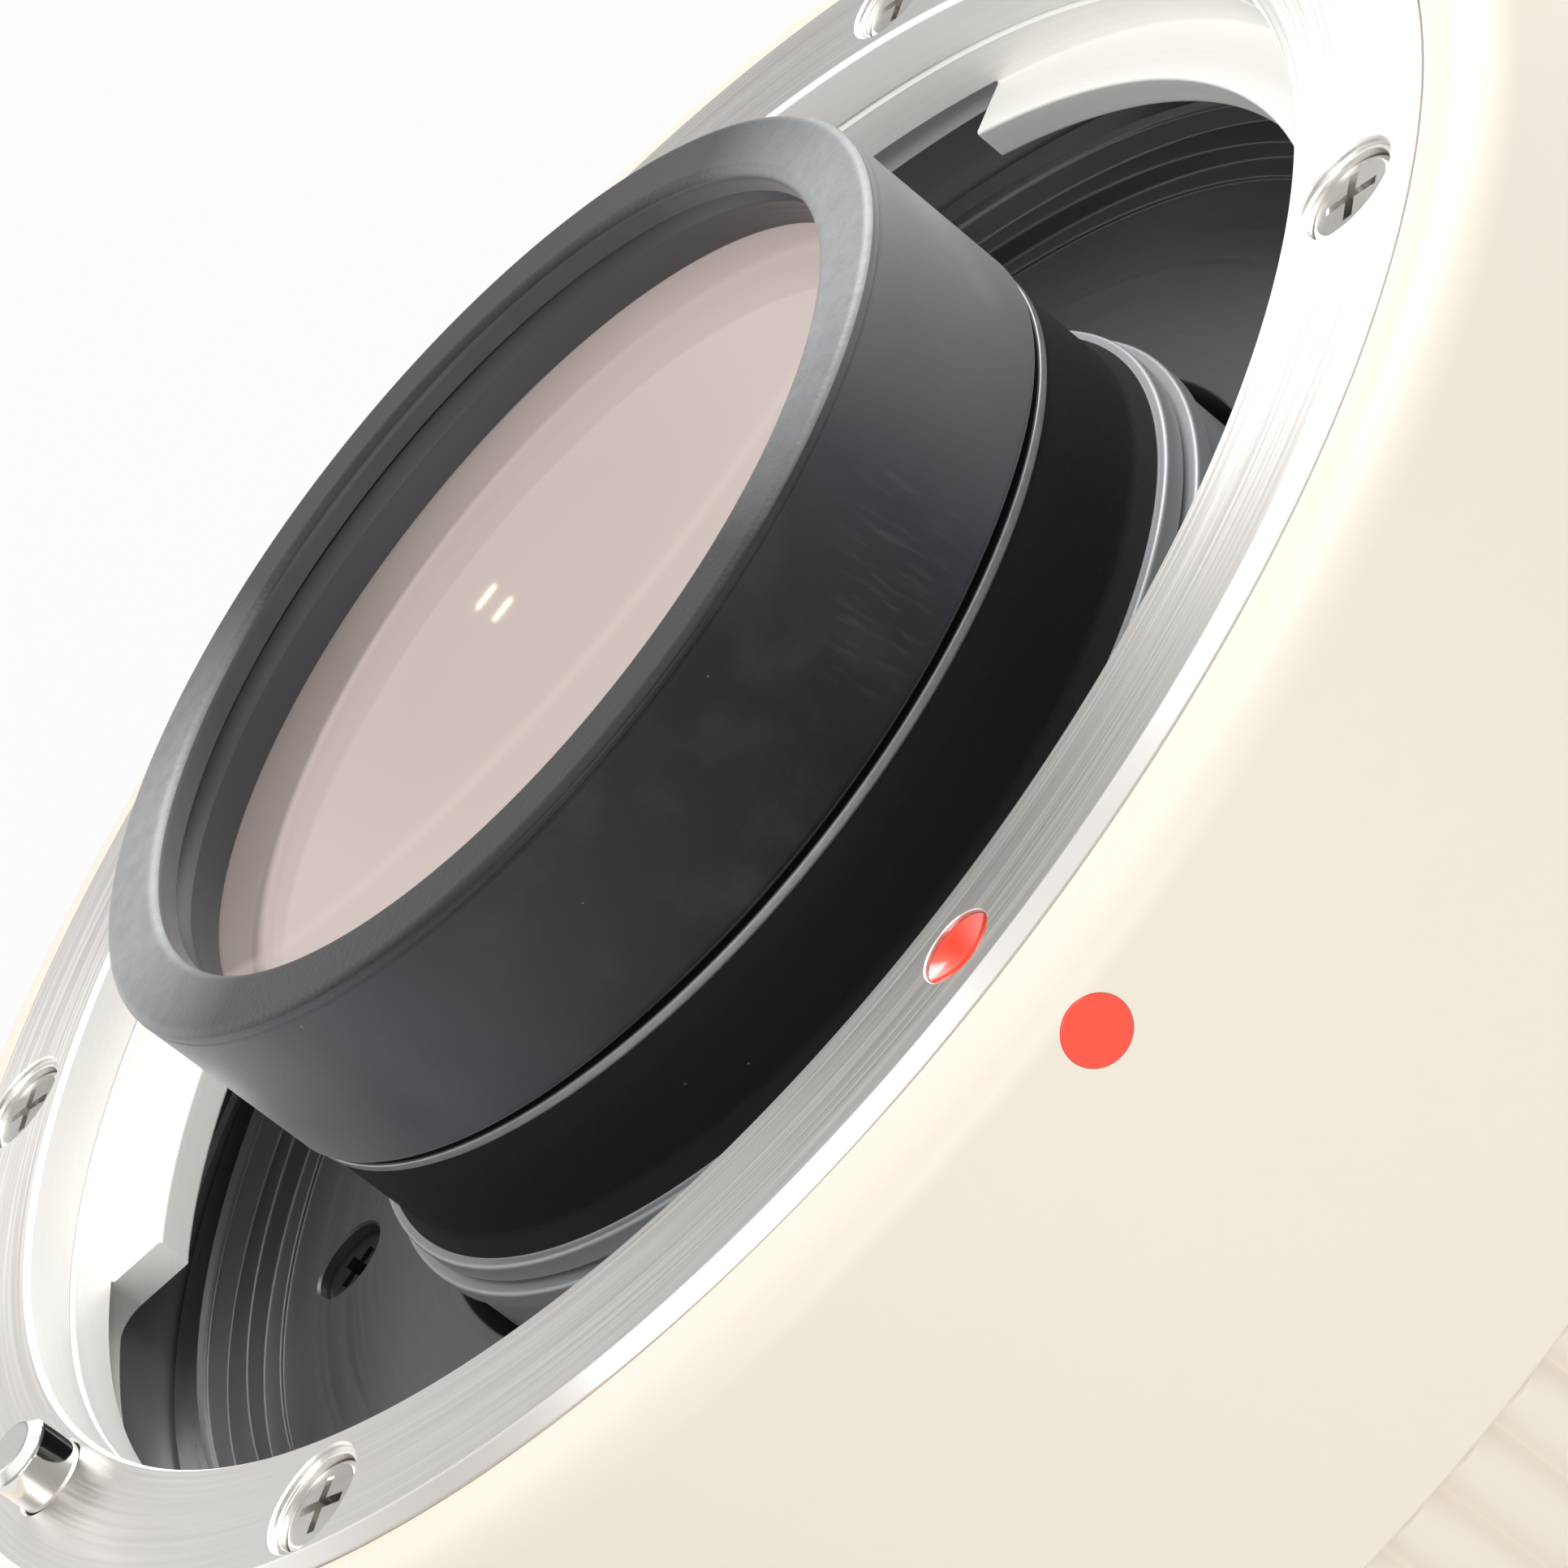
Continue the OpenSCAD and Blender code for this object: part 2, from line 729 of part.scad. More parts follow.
// Children at the place of rear pad i
module at_pad(i) {
    rotate([0, 0, contact_a - pin_span_a / 2 + (i - 1) * pin_pitch_a])
        translate([(rear_block_in + rear_block_out) / 2 - 0.3, 0, rear_block_z])
            children();
}

// Flat pad let into the block's rear face
module pad_shape(half_w, half_l) {
    translate([-half_l, -half_w, -cut])
        cube([2 * half_l, 2 * half_w, pad_t + cut]);
}

// Gold pads on the rear contact block
module rear_contact_pads() {
    color("#d8b25a")
    for (i = [1 : pin_count])
        at_pad(i)
            translate([-pad_len / 2, -pad_half, -0.05])
                cube([pad_len, 2 * pad_half, pad_t + 0.05]);
}

// Two screws through the rear contact block
module rear_contact_screws() {
    color("#8e8c88")
    at_polar(rear_contact_pcr, [contact_a - rear_contact_screw_a, contact_a + rear_contact_screw_a])
        translate([0, 0, rear_head_seat_z - baffle_head_h])
            rotate([180, 0, 0])
                cross_screw(baffle_head_r, baffle_head_h, baffle_shank_r, rear_screw_len);
}

// Lens barrel: black tube with lip, black band, polished base rings and screw flange
module lens_barrel() {
    line_r = ring_1_r - 0.3;
    ring_1_z = ring_2_z + ring_tall + ring_line_h;
    flare_z = ring_1_z + ring_tall;
    color("#141416")
    difference() {
        rotate_extrude()
            polygon([[pair_bore_r, flange_under_z], [barrel_flange_r, flange_under_z],
                     [barrel_flange_r, floor_under_z], [base_r, floor_under_z],
                     [base_r, ring_2_z], [ring_2_r, ring_2_z], [ring_2_r, ring_2_z + ring_tall],
                     [line_r, ring_2_z + ring_tall], [line_r, ring_1_z],
                     [ring_1_r, ring_1_z], [ring_1_r, flare_z],
                     [band_r + band_flare, flare_z], [band_r, flare_z + ring_tall],
                     [band_r, lip_z - lip_t - 0.1], [lip_r, lip_z - lip_t], [lip_r, lip_z],
                     [sleeve_seat_r, lip_z], [sleeve_seat_r, barrel_top_z],
                     [front_glass_r + glass_gap, barrel_top_z], [front_glass_r + glass_gap, lens_2_seat_z],
                     [stop_r, lens_2_seat_z], [stop_r, pair_top_z], [pair_bore_r, pair_top_z]]);
        at_polar(barrel_screw_pcr, [for (k = [0 : 3]) barrel_screw_a + 90 * k])
            rod(barrel_shank_r + seat_gap, flange_under_z - cut, floor_under_z + cut);
        translate([-barrel_flange_r, flex_y - flex_room, flange_under_z - cut])
            cube([2 * barrel_flange_r, barrel_flange_r, barrel_flange_t + 2 * cut]);
    }
}

// Rubber sleeve over the barrel, with a flat front rim turned inwards
module rubber_sleeve() {
    foot_gap = 0.15;
    foot_r = 0.4;
    foot_z = lip_z + foot_gap;
    line = 0.06;
    in_r = sleeve_seat_r + seat_gap;
    edge_z = sleeve_z - rim_edge_r;
    rim_low_z = barrel_top_z + seat_gap;
    color("#2b2c2e")
    rotate_extrude()
        difference() {
            union() {
                translate([in_r, foot_z + foot_r])
                    square([sleeve_r - in_r, edge_z - foot_z - foot_r]);
                translate([in_r, foot_z])
                    square([sleeve_r - in_r - foot_r, foot_r + cut]);
                translate([sleeve_r - foot_r, foot_z + foot_r])
                    circle(r = foot_r, $fn = 48);
                translate([rim_in_r, rim_low_z])
                    square([in_r + cut - rim_in_r, edge_z - rim_low_z]);
                translate([rim_in_r + rim_edge_r, rim_low_z])
                    square([sleeve_r - rim_in_r - 2 * rim_edge_r, sleeve_z - rim_low_z]);
                for (r = [rim_in_r + rim_edge_r, sleeve_r - rim_edge_r])
                    translate([r, edge_z])
                        circle(r = rim_edge_r, $fn = 48);
            }
            translate([sleeve_r + line, rim_line_z])
                circle(r = 2 * line, $fn = 24);
            translate([0, foot_z - cut])
                square([in_r, rim_low_z - foot_z + cut]);
        }
}

// Threaded ring that holds the front element
module front_retaining_ring() {
    low_z = front_vertex_z - sag(front_surface_r, front_clear_r) + 0.02;
    wall = front_glass_r - front_clear_r;
    bevel_w = 0.6 * wall;
    bevel_h = (barrel_top_z - low_z) / 3;
    slot_w = 2.4 * wall;
    slot_h = wall;
    color("#1a1a1c")
    difference() {
        rotate_extrude()
            polygon([[front_clear_r, low_z], [front_glass_r, low_z], [front_glass_r, barrel_top_z],
                     [front_clear_r + bevel_w, barrel_top_z], [front_clear_r, barrel_top_z - bevel_h]]);
        for (a = [0, 180])
            rotate([0, 0, a])
                translate([front_clear_r - cut, -slot_w / 2, barrel_top_z - slot_h])
                    cube([wall + 2 * cut, slot_w, slot_h + cut]);
    }
}

// Round section of a ball whose top is at a height
module ball_below(r, top_z) {
    translate([0, top_z - r])
        circle(r = r, $fn = ball_sides);
}

// Round section of a ball whose bottom is at a height
module ball_above(r, low_z) {
    translate([0, low_z + r])
        circle(r = r, $fn = ball_sides);
}

// Half section of a disc from one height to another
module half_disc(r, z0, z1) {
    translate([0, z0])
        square([r, z1 - z0]);
}

// Front element, a meniscus with its hollow side to the rear
module lens_1() {
    back_z = front_vertex_z - lens_1_t;
    color("#c9b3ae")
    rotate_extrude()
        difference() {
            intersection() {
                half_disc(front_glass_r, spacer_top_z, front_vertex_z);
                ball_below(front_surface_r, front_vertex_z);
            }
            ball_below(lens_1_back_r, back_z);
        }
}

// Spacer between the first two elements
module lens_spacer() {
    color("#202022")
    tube(spacer_in, front_glass_r, spacer_low_z, spacer_top_z);
}

// Second element, convex on both sides
module lens_2() {
    low_z = lens_2_vertex_z - lens_2_t;
    color("#cfd6d6")
    rotate_extrude() {
        intersection() {
            half_disc(spacer_in, low_z, lens_2_vertex_z);
            ball_below(lens_2_front_r, lens_2_vertex_z);
            ball_above(lens_2_back_r, low_z);
        }
        translate([spacer_in - 0.5, lens_2_low_z])
            square([front_glass_r - spacer_in + 0.5, spacer_low_z - lens_2_low_z]);
    }
}

// First half of the cemented pair, hollow on both sides
module lens_3() {
    front_z3 = pair_top_z - sag(lens_3_front_r, stop_r);
    color("#cfd6d6")
    rotate_extrude()
        difference() {
            half_disc(pair_r, pair_joint_z - sag(pair_joint_r, pair_r), pair_top_z);
            ball_above(lens_3_front_r, front_z3);
            ball_below(pair_joint_r, pair_joint_z);
        }
}

// Second half of the cemented pair, convex on both sides
module lens_4() {
    color("#cfd6d6")
    rotate_extrude()
        intersection() {
            half_disc(pair_r, lens_4_vertex_z, pair_joint_z);
            ball_below(pair_joint_r, pair_joint_z - cement_t);
            ball_above(lens_4_back_r, lens_4_vertex_z);
        }
}

// Rear element, a meniscus with its hollow side to the front
module lens_5() {
    edge_low_z = rear_seat_z - lens_5_t - sag(lens_5_front_r, rear_clear_r);
    color("#c4cdd0")
    rotate_extrude()
        difference() {
            intersection() {
                half_disc(rear_glass_r, edge_low_z, rear_seat_z);
                ball_above(lens_5_back_r, edge_low_z);
            }
            ball_above(lens_5_front_r, rear_seat_z - sag(lens_5_front_r, rear_clear_r));
        }
}

// Rear cell: tube that screws into the lens barrel and carries the rear element
module rear_cell() {
    color("#1a1a1c")
    rotate_extrude()
        polygon([[rear_glass_r + glass_gap, cell_low_z], [cell_r, cell_low_z],
                 [cell_r, flange_under_z - cell_flange_t], [cell_flange_r, flange_under_z - cell_flange_t],
                 [cell_flange_r, flange_under_z], [pair_bore_r - seat_gap, flange_under_z],
                 [pair_bore_r - seat_gap, cell_neck_z], [cell_neck_in, cell_neck_z],
                 [cell_neck_in, pair_low_z - 4], [rear_clear_r, rear_seat_z + 0.8],
                 [rear_clear_r, rear_seat_z], [rear_glass_r + glass_gap, rear_seat_z]]);
}

// Threaded ring that holds the rear element
module rear_retaining_ring() {
    edge_z = rear_seat_z - lens_5_t - sag(lens_5_front_r, rear_clear_r) + sag(lens_5_back_r, rear_clear_r);
    color("#1a1a1c")
    tube(rear_clear_r, rear_glass_r, cell_low_z + 0.2, edge_z - 0.02);
}

// Four screws from the well floor into the barrel's flange
module barrel_screws() {
    color("#2a2a2c")
    at_polar(barrel_screw_pcr, [for (k = [0 : 3]) barrel_screw_a + 90 * k])
        translate([0, 0, floor_z - 0.4])
            cross_screw(barrel_head_r, barrel_head_h, barrel_shank_r, floor_t - 1.4 + barrel_flange_t - 0.2);
}

// Rear mount ring: plate, collar and neck with three lugs
module rear_mount_ring() {
    color("#d6d4cf")
    difference() {
        union() {
            rotate_extrude()
                polygon([[spigot_in, spigot_z], [neck_r, spigot_z], [neck_r, -collar_h],
                         [collar_r, -collar_h], [collar_r, 0], [plate_r, 0], [plate_r, plate_t],
                         [plate_bore_r, plate_t], [plate_bore_r, ledge_z], [spigot_in, ledge_z]]);
            for (a = claw_ends)
                arc_block(neck_r - 0.3, lug_r, spigot_z, spigot_z + lug_t,
                          a - claw_span + lug_short_a, a - lug_short_a);
        }
        at_polar(rear_screw_pcr, rear_screw_angles) {
            rod(rear_shank_r + counterbore_gap, -cut, plate_t + cut);
            rod(rear_head_r + counterbore_gap, -cut, rear_head_h);
        }
        rotate([0, 0, lock_a])
            translate([lock_pcr, 0, -cut])
                cylinder(r = rear_lock_r, h = plate_t + 2 * cut);
        at_polar(baffle_screw_pcr, baffle_screw_angles)
            rod(baffle_shank_r + seat_gap, ledge_z - cut, plate_t + cut);
        at_polar(rear_contact_pcr, [contact_a - rear_contact_screw_a, contact_a + rear_contact_screw_a])
            rod(baffle_shank_r + seat_gap, ledge_z - cut, plate_t + cut);
        flex_way(ledge_z - cut, plate_t + cut);
    }
}

// Four screws that hold the rear mount ring
module rear_mount_screws() {
    color("#dcdad5")
    at_polar(rear_screw_pcr, rear_screw_angles)
        rotate([180, 0, 0])
            translate([0, 0, -0.2])
                cross_screw(rear_head_r, rear_head_h - 0.2, rear_shank_r, rear_shank_len);
}

// Light baffle with a rectangular window
module rear_baffle() {
    color("#151517")
    difference() {
        union() {
            tube(window_w / 3, baffle_r, baffle_z, baffle_z + baffle_t);
            tube(baffle_r - baffle_rim_t, baffle_r, baffle_z, ledge_z);
            at_polar(baffle_screw_pcr, baffle_screw_angles)
                rod(1.4, baffle_z, ledge_z);
        }
        translate([0, 0, baffle_z - cut])
            linear_extrude(height = baffle_t + 2 * cut)
                window();
        arc_block(rear_block_in - 0.4, baffle_r + 1, spigot_z, ledge_z + cut,
                  contact_a - rear_block_room_a, contact_a + rear_block_room_a);
        at_polar(baffle_screw_pcr, baffle_screw_angles) {
            rod(baffle_shank_r + seat_gap, baffle_z - cut, ledge_z + cut);
            rod(baffle_head_r + counterbore_gap, baffle_z - cut, baffle_z + 0.9);
        }
    }
}

// Outline of the baffle's window
module window() {
    for (x = [-1, 1], y = [-1, 1])
        translate([x * (window_w / 2 - window_corner_r), y * (window_h / 2 - window_corner_r)])
            circle(r = window_corner_r);
    square([window_w - 2 * window_corner_r, window_h], center = true);
    square([window_w, window_h - 2 * window_corner_r], center = true);
}

// Three screws that hold the rear baffle
module rear_baffle_screws() {
    color("#2a2a2c")
    at_polar(baffle_screw_pcr, baffle_screw_angles)
        translate([0, 0, baffle_z + 0.1])
            rotate([180, 0, 0])
                cross_screw(baffle_head_r, baffle_head_h, baffle_shank_r, plate_t - baffle_z - 1.1);
}

// Raised red bead that lines up with the next mount's mark
module rear_index_bead() {
    color("#d4261c")
    rotate([0, 0, rear_index_a])
        translate([body_r - rib_h - 0.5, 0, grip_z + 2.6])
            intersection() {
                rotate([0, 90, 0])
                    cylinder(r = bead_r, h = 2);
                translate([0.2, 0, 0])
                    sphere(r = bead_r + 0.2);
            }
}

main_barrel();
outer_shell();
grip_ring();
front_mount_ring();
front_mount_screws();
mount_spring();
ring_index_mark();
body_index_dot();
lock_pin();
lock_carrier();
release_slider();
lock_spring();
front_contact_block();
front_contact_screws();
contact_pin(1);  // contact_pin_1
contact_pin(2);  // contact_pin_2
contact_pin(3);  // contact_pin_3
contact_pin(4);  // contact_pin_4
contact_pin(5);  // contact_pin_5
contact_pin(6);  // contact_pin_6
contact_pin(7);  // contact_pin_7
contact_pin(8);  // contact_pin_8
contact_pin(9);  // contact_pin_9
contact_pin(10);  // contact_pin_10
contact_spring(1);  // contact_spring_1
contact_spring(2);  // contact_spring_2
contact_spring(3);  // contact_spring_3
contact_spring(4);  // contact_spring_4
contact_spring(5);  // contact_spring_5
contact_spring(6);  // contact_spring_6
contact_spring(7);  // contact_spring_7
contact_spring(8);  // contact_spring_8
contact_spring(9);  // contact_spring_9
contact_spring(10);  // contact_spring_10
flex_circuit();
rear_contact_block();
rear_contact_pads();
rear_contact_screws();
lens_barrel();
rubber_sleeve();
front_retaining_ring();
lens_1();
lens_spacer();
lens_2();
lens_3();
lens_4();
lens_5();
rear_cell();
rear_retaining_ring();
barrel_screws();
rear_mount_ring();
rear_mount_screws();
rear_baffle();
rear_baffle_screws();
rear_index_bead();
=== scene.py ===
import json
import math
import types

import bmesh
import bpy
import numpy as np
from mathutils import Matrix, Vector


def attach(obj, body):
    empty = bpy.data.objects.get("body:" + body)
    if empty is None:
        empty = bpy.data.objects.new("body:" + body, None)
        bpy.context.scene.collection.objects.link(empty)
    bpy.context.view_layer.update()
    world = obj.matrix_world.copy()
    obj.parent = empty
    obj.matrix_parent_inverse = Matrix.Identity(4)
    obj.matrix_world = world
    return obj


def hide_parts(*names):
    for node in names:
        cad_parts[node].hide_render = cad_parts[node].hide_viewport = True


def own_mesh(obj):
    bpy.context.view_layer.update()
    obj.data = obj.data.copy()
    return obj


bl_info = {
    "name": "Camera teleconverter",
    "version": (1, 0, 0),
    "blender": (4, 5, 0),
    "location": "View3D > Sidebar > Converter",
    "description": "Builds the finished surfaces of a camera teleconverter and a white stage for it",
    "category": "Object",
}

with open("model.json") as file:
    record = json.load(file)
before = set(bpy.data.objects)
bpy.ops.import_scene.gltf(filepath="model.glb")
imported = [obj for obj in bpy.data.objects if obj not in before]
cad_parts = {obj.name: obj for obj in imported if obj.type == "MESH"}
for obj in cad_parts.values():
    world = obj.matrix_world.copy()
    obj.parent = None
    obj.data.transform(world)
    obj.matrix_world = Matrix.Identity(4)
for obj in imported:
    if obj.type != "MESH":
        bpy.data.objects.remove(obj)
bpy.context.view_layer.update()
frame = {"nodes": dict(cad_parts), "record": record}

MM = 0.001
TURN = 2.0 * math.pi
INDEX_ANGLE = math.radians(-90.0)
DOT_ANGLE = math.radians(-89.1)
LOCK_ANGLE = math.radians(-174.0)
BEAD_ANGLE = math.radians(-150.0)
CONTACT_ANGLE = math.radians(90.0)
SCREW_ANGLES = np.radians((40.0, 140.0, -40.0, -140.0))
CLAW_ENDS = np.radians((155.0, 35.0, -85.0))
CLAW_SPAN = math.radians(60.0)
CONTACT_STEP = math.radians(4.4)
CONTACT_COUNT = 10
DOT_DEPTH = 2.43
BEAD_HEIGHT = 3.5
BARREL_TOP = 32.2
FLOOR_SCREW_CIRCLE = 22.1


def length(label, text, millimetres):
    """A length property that is shown in the scene's units."""
    return bpy.props.FloatProperty(name=label, description=text, default=millimetres * MM,
                                   unit="LENGTH", precision=5)


def colour(label, text, value):
    """A colour property, in linear values."""
    return bpy.props.FloatVectorProperty(name=label, description=text, default=value, size=3,
                                         min=0.0, max=1.0, subtype="COLOR")


def power(label, text, watts):
    """The power of a lamp."""
    return bpy.props.FloatProperty(name=label, description=text, default=watts, min=0.0, unit="POWER")


def level(label, text, value):
    """A brightness, of which 1 is white."""
    return bpy.props.FloatProperty(name=label, description=text, default=value, min=0.0)


class ConverterSizes(bpy.types.PropertyGroup):
    """Sizes of the finished surfaces; heights are measured from the rear seating face."""

    front: length("Front face", "Height of the front seating face", 27.3)
    throat: length("Throat radius", "Radius of the bayonet throat", 27.0)
    ring: length("Ring radius", "Outer radius of the front mount ring", 31.55)
    ring_back: length("Ring back", "Height of the mount ring's back face", 22.7)
    claw: length("Claw radius", "Inner radius of the three claws", 24.8)
    claw_depth: length("Claw depth", "Depth of the claws below the front face", 3.4)
    relief: length("Relief radius", "Radius of the gaps between the claws", 28.0)
    body: length("Body radius", "Outer radius of the shell", 33.9)
    body_front: length("Shell front", "Height of the shell's front edge", 26.9)
    body_back: length("Shell back", "Height of the shell's rear edge", 8.8)
    body_edge: length("Shell edge", "Radius of the shell's rounded front edge", 1.3)
    bore: length("Shell bore", "Inner radius of the shell and the grip ring", 31.6)
    grip_back: length("Grip back", "Height of the grip ring's rear edge", 0.9)
    rib_height: length("Rib height", "Height of a rib of the grip ring", 0.55)
    rib_count: bpy.props.IntProperty(name="Ribs", description="Number of ribs round the grip ring",
                                     default=96, min=12)
    floor: length("Well floor", "Height of the floor of the well", 18.6)
    well: length("Well radius", "Radius of the well at its floor", 25.75)
    well_step: length("Step radius", "Radius of the step in the wall of the well", 26.65)
    step_height: length("Step height", "Height of each step in the wall of the well", 0.85)
    band: length("Band radius", "Radius of the black band of the lens barrel", 16.25)
    lip_top: length("Lip height", "Height of the thin lip over the black band", 26.43)
    sleeve: length("Sleeve radius", "Radius of the rubber sleeve", 16.45)
    sleeve_foot: length("Sleeve foot", "Height of the lower edge of the rubber sleeve", 26.58)
    rim_top: length("Rim height", "Height of the sleeve's flat front rim", 33.3)
    rim_inner: length("Rim radius", "Inner radius of the sleeve's front rim", 14.2)
    rim_edge: length("Rim edge", "Rounding of the rim's outer edge", 0.4)
    glass: length("Glass radius", "Radius of the front element", 14.9)
    glass_top: length("Glass vertex", "Height of the front element's vertex", 31.4)
    glass_curve: length("Glass curve", "Radius of curvature of the front element", 120.0)
    screw_circle: length("Screw circle", "Radius of the circle of the mount screws", 29.3)
    mark_circle: length("Mark circle", "Distance of the red mark from the axis", 29.35)
    lock_circle: length("Lock circle", "Distance of the lock pin from the axis", 28.55)
    pin_circle: length("Contact circle", "Radius of the arc of contact pins", 22.3)


class ConverterColours(bpy.types.PropertyGroup):
    """Main colours of the converter."""

    cream: colour("Cream paint", "Colour of the shell and the grip ring", (0.86, 0.79, 0.68))
    steel: colour("Mount steel", "Colour of the two mount rings", (0.80, 0.775, 0.745))
    rubber: colour("Rubber", "Colour of the sleeve", (0.0125, 0.0132, 0.015))
    black: colour("Black parts", "Colour of the anodised and moulded parts", (0.030, 0.030, 0.033))
    well: colour("Well", "Colour of the well round the lens barrel", (0.066, 0.066, 0.069))
    band: colour("Band", "Colour of the velvety band of the lens barrel", (0.011, 0.011, 0.0125))
    # The glass tint is a pale diffuse colour: painted light standing in for the coating's reflection and the
    # light through the glass.
    glass: colour("Glass coating", "Tint of the front element", (0.375, 0.312, 0.292))
    red: colour("Red marks", "Colour of the alignment marks", (1.0, 0.05, 0.008))
    gold: colour("Contacts", "Colour of the contact pins and pads", (0.83, 0.60, 0.24))


class ConverterStage(bpy.types.PropertyGroup):
    """Camera, lamps and background."""

    lens: bpy.props.FloatProperty(name="Focal length", default=164.2, min=1.0,
                                  description="Focal length in millimetres on a 36 mm frame")
    key: power("Key light", "Power of the soft light at the far right", 1.9)
    high: power("High light", "Power of the light high on the right", 0.8)
    face: power("Front light", "Power of the low light on the index side", 1.5)
    mount: power("Mount light", "Power of each of the two lights on the front mount ring alone", 2.3)
    shine: power("Lens light", "Power of the light on the front element alone", 4.2)
    glint: power("Glint", "Power of each of the two small lights mirrored in the front element", 0.0009)
    fill: level("Fill", "Strength of the surroundings for diffuse light", 0.80)
    top: level("Ceiling", "Brightness of the zenith in reflections", 1.2)
    front: level("Front", "Brightness of the index side in reflections", 0.45)
    rear: level("Rear", "Brightness of the far side in reflections", 0.42)
    wings: level("Wings", "Brightness added at both ends of the far side", 1.0)
    flare: level("Window", "Brightness of the window on the far right in reflections", 1.6)


def sizes(context):
    """The size properties in millimetres, by name; counts stay as they are."""
    group = context.scene.converter_sizes
    names = ConverterSizes.__annotations__
    values = {name: getattr(group, name) for name in names}
    return types.SimpleNamespace(**{name: value if isinstance(value, int) else value / MM
                                    for name, value in values.items()})


def rounded(corners, steps=6, support=0.05):
    """Closed outline through corners (x, y, rounding).

    Each rounded corner becomes an arc that touches both its sides. Long sides get a support point near
    each end, which keeps their shading flat."""
    arcs = []
    for index, (x, y, rounding) in enumerate(corners):
        here = np.array((x, y), float)
        before = np.array(corners[index - 1][:2], float) - here
        after = np.array(corners[(index + 1) % len(corners)][:2], float) - here
        if rounding <= 0.0:
            arcs.append(here[None])
            continue
        before /= np.linalg.norm(before)
        after /= np.linalg.norm(after)
        half = math.acos(np.clip(before @ after, -1.0, 1.0)) / 2.0
        middle = before + after
        centre = here + middle / np.linalg.norm(middle) * rounding / math.sin(half)
        reach = rounding / math.tan(half)
        start = here + before * reach - centre
        end = here + after * reach - centre
        sweep = math.pi - 2.0 * half
        share = np.linspace(0.0, 1.0, steps + 1)[:, None]
        arc = np.sin((1.0 - share) * sweep) * start + np.sin(share * sweep) * end
        arcs.append(centre + arc / math.sin(sweep))
    points = np.concatenate(arcs)
    following = np.roll(points, -1, axis=0)
    side = np.linalg.norm(following - points, axis=1)
    return np.concatenate([np.stack((a, a + (b - a) * support / d, b - (b - a) * support / d))
                           if d > 6.0 * support else a[None] for a, b, d in zip(points, following, side)])


def grid_faces(rows, columns, wrap_rows, wrap_columns):
    """Quads of a grid of rows times columns points, closed in either direction if asked."""
    row, column = np.meshgrid(np.arange(rows if wrap_rows else rows - 1),
                              np.arange(columns if wrap_columns else columns - 1), indexing="ij")
    next_row = (row + 1) % rows
    next_column = (column + 1) % columns
    quads = np.stack((row * columns + column, row * columns + next_column,
                      next_row * columns + next_column, next_row * columns + column), axis=-1)
    return quads.reshape(-1, 4)


def lathe(outline, segments=360):
    """Closed outline (radius, height) turned about the axis: P = (r cos a, r sin a, z)."""
    angle = np.linspace(0.0, TURN, segments, endpoint=False)
    radius = outline[:, :1]
    height = np.broadcast_to(outline[:, 1:], (len(outline), segments))
    points = np.stack((radius * np.cos(angle), radius * np.sin(angle), height), axis=-1)
    return points.reshape(-1, 3), grid_faces(len(outline), segments, True, True).tolist()


def arc_sweep(outline, start, end, steps=64):
    """Closed outline (radius, height) carried round the axis from one angle to another, with flat ends."""
    angle = np.linspace(start, end, steps)[:, None]
    points = np.stack((np.cos(angle) * outline[:, 0], np.sin(angle) * outline[:, 0],
                       np.broadcast_to(outline[:, 1], (steps, len(outline)))), axis=-1)
    count = len(outline)
    faces = grid_faces(steps, count, False, True).tolist()
    faces.append(list(range(count)))
    faces.append(list(range(steps * count - 1, (steps - 1) * count - 1, -1)))
    return points.reshape(-1, 3), faces


def prism(low_plan, top_plan, low, top):
    """Closed solid between a plan (x, y) at one height and a plan with as many points at another."""
    count = len(low_plan)
    points = np.concatenate((np.column_stack((low_plan, np.full(count, low))),
                             np.column_stack((top_plan, np.full(count, top)))))
    faces = grid_faces(2, count, False, True).tolist()
    faces.append(list(range(count - 1, -1, -1)))
    faces.append(list(range(count, 2 * count)))
    return points, faces


def slab(inner, outer):
    """Closed solid between two grids (rows, columns, 3) of points that lie opposite each other."""
    rows, columns = inner.shape[:2]
    quads = grid_faces(rows, columns, False, False)
    count = rows * columns
    index = np.arange(count).reshape(rows, columns)
    rim = np.concatenate((index[0, :-1], index[:-1, -1], index[-1, :0:-1], index[:0:-1, 0]))
    following = np.roll(rim, -1)
    walls = np.stack((rim, following, following + count, rim + count), axis=-1)
    faces = np.concatenate((quads[:, ::-1], quads + count, walls)).tolist()
    return np.concatenate((inner.reshape(-1, 3), outer.reshape(-1, 3))), faces


def coil(mean, wire, low, high, turns, sides=10, steps=28):
    """Round wire wound about the axis: its centre is at (m cos t, m sin t) and climbs evenly with t."""
    turn = np.linspace(0.0, turns * TURN, turns * steps + 1)[:, None]
    around = np.linspace(0.0, TURN, sides, endpoint=False)
    reach = mean + wire * np.cos(around)
    height = low + wire + (high - low - 2.0 * wire) * turn / (turns * TURN) + wire * np.sin(around)
    points = np.stack((np.cos(turn) * reach, np.sin(turn) * reach, height), axis=-1)
    rows = len(turn)
    faces = grid_faces(rows, sides, False, True).tolist()
    faces.append(list(range(sides)))
    faces.append(list(range(rows * sides - 1, (rows - 1) * sides - 1, -1)))
    return points.reshape(-1, 3), faces


def moved(solid, radius, angle, height=0.0):
    """The solid set at a distance from the axis and an angle round it."""
    points, faces = solid
    shifted = points + (radius, 0.0, height)
    turn = np.array(((math.cos(angle), -math.sin(angle), 0.0),
                     (math.sin(angle), math.cos(angle), 0.0), (0.0, 0.0, 1.0)))
    return shifted @ turn.T, faces


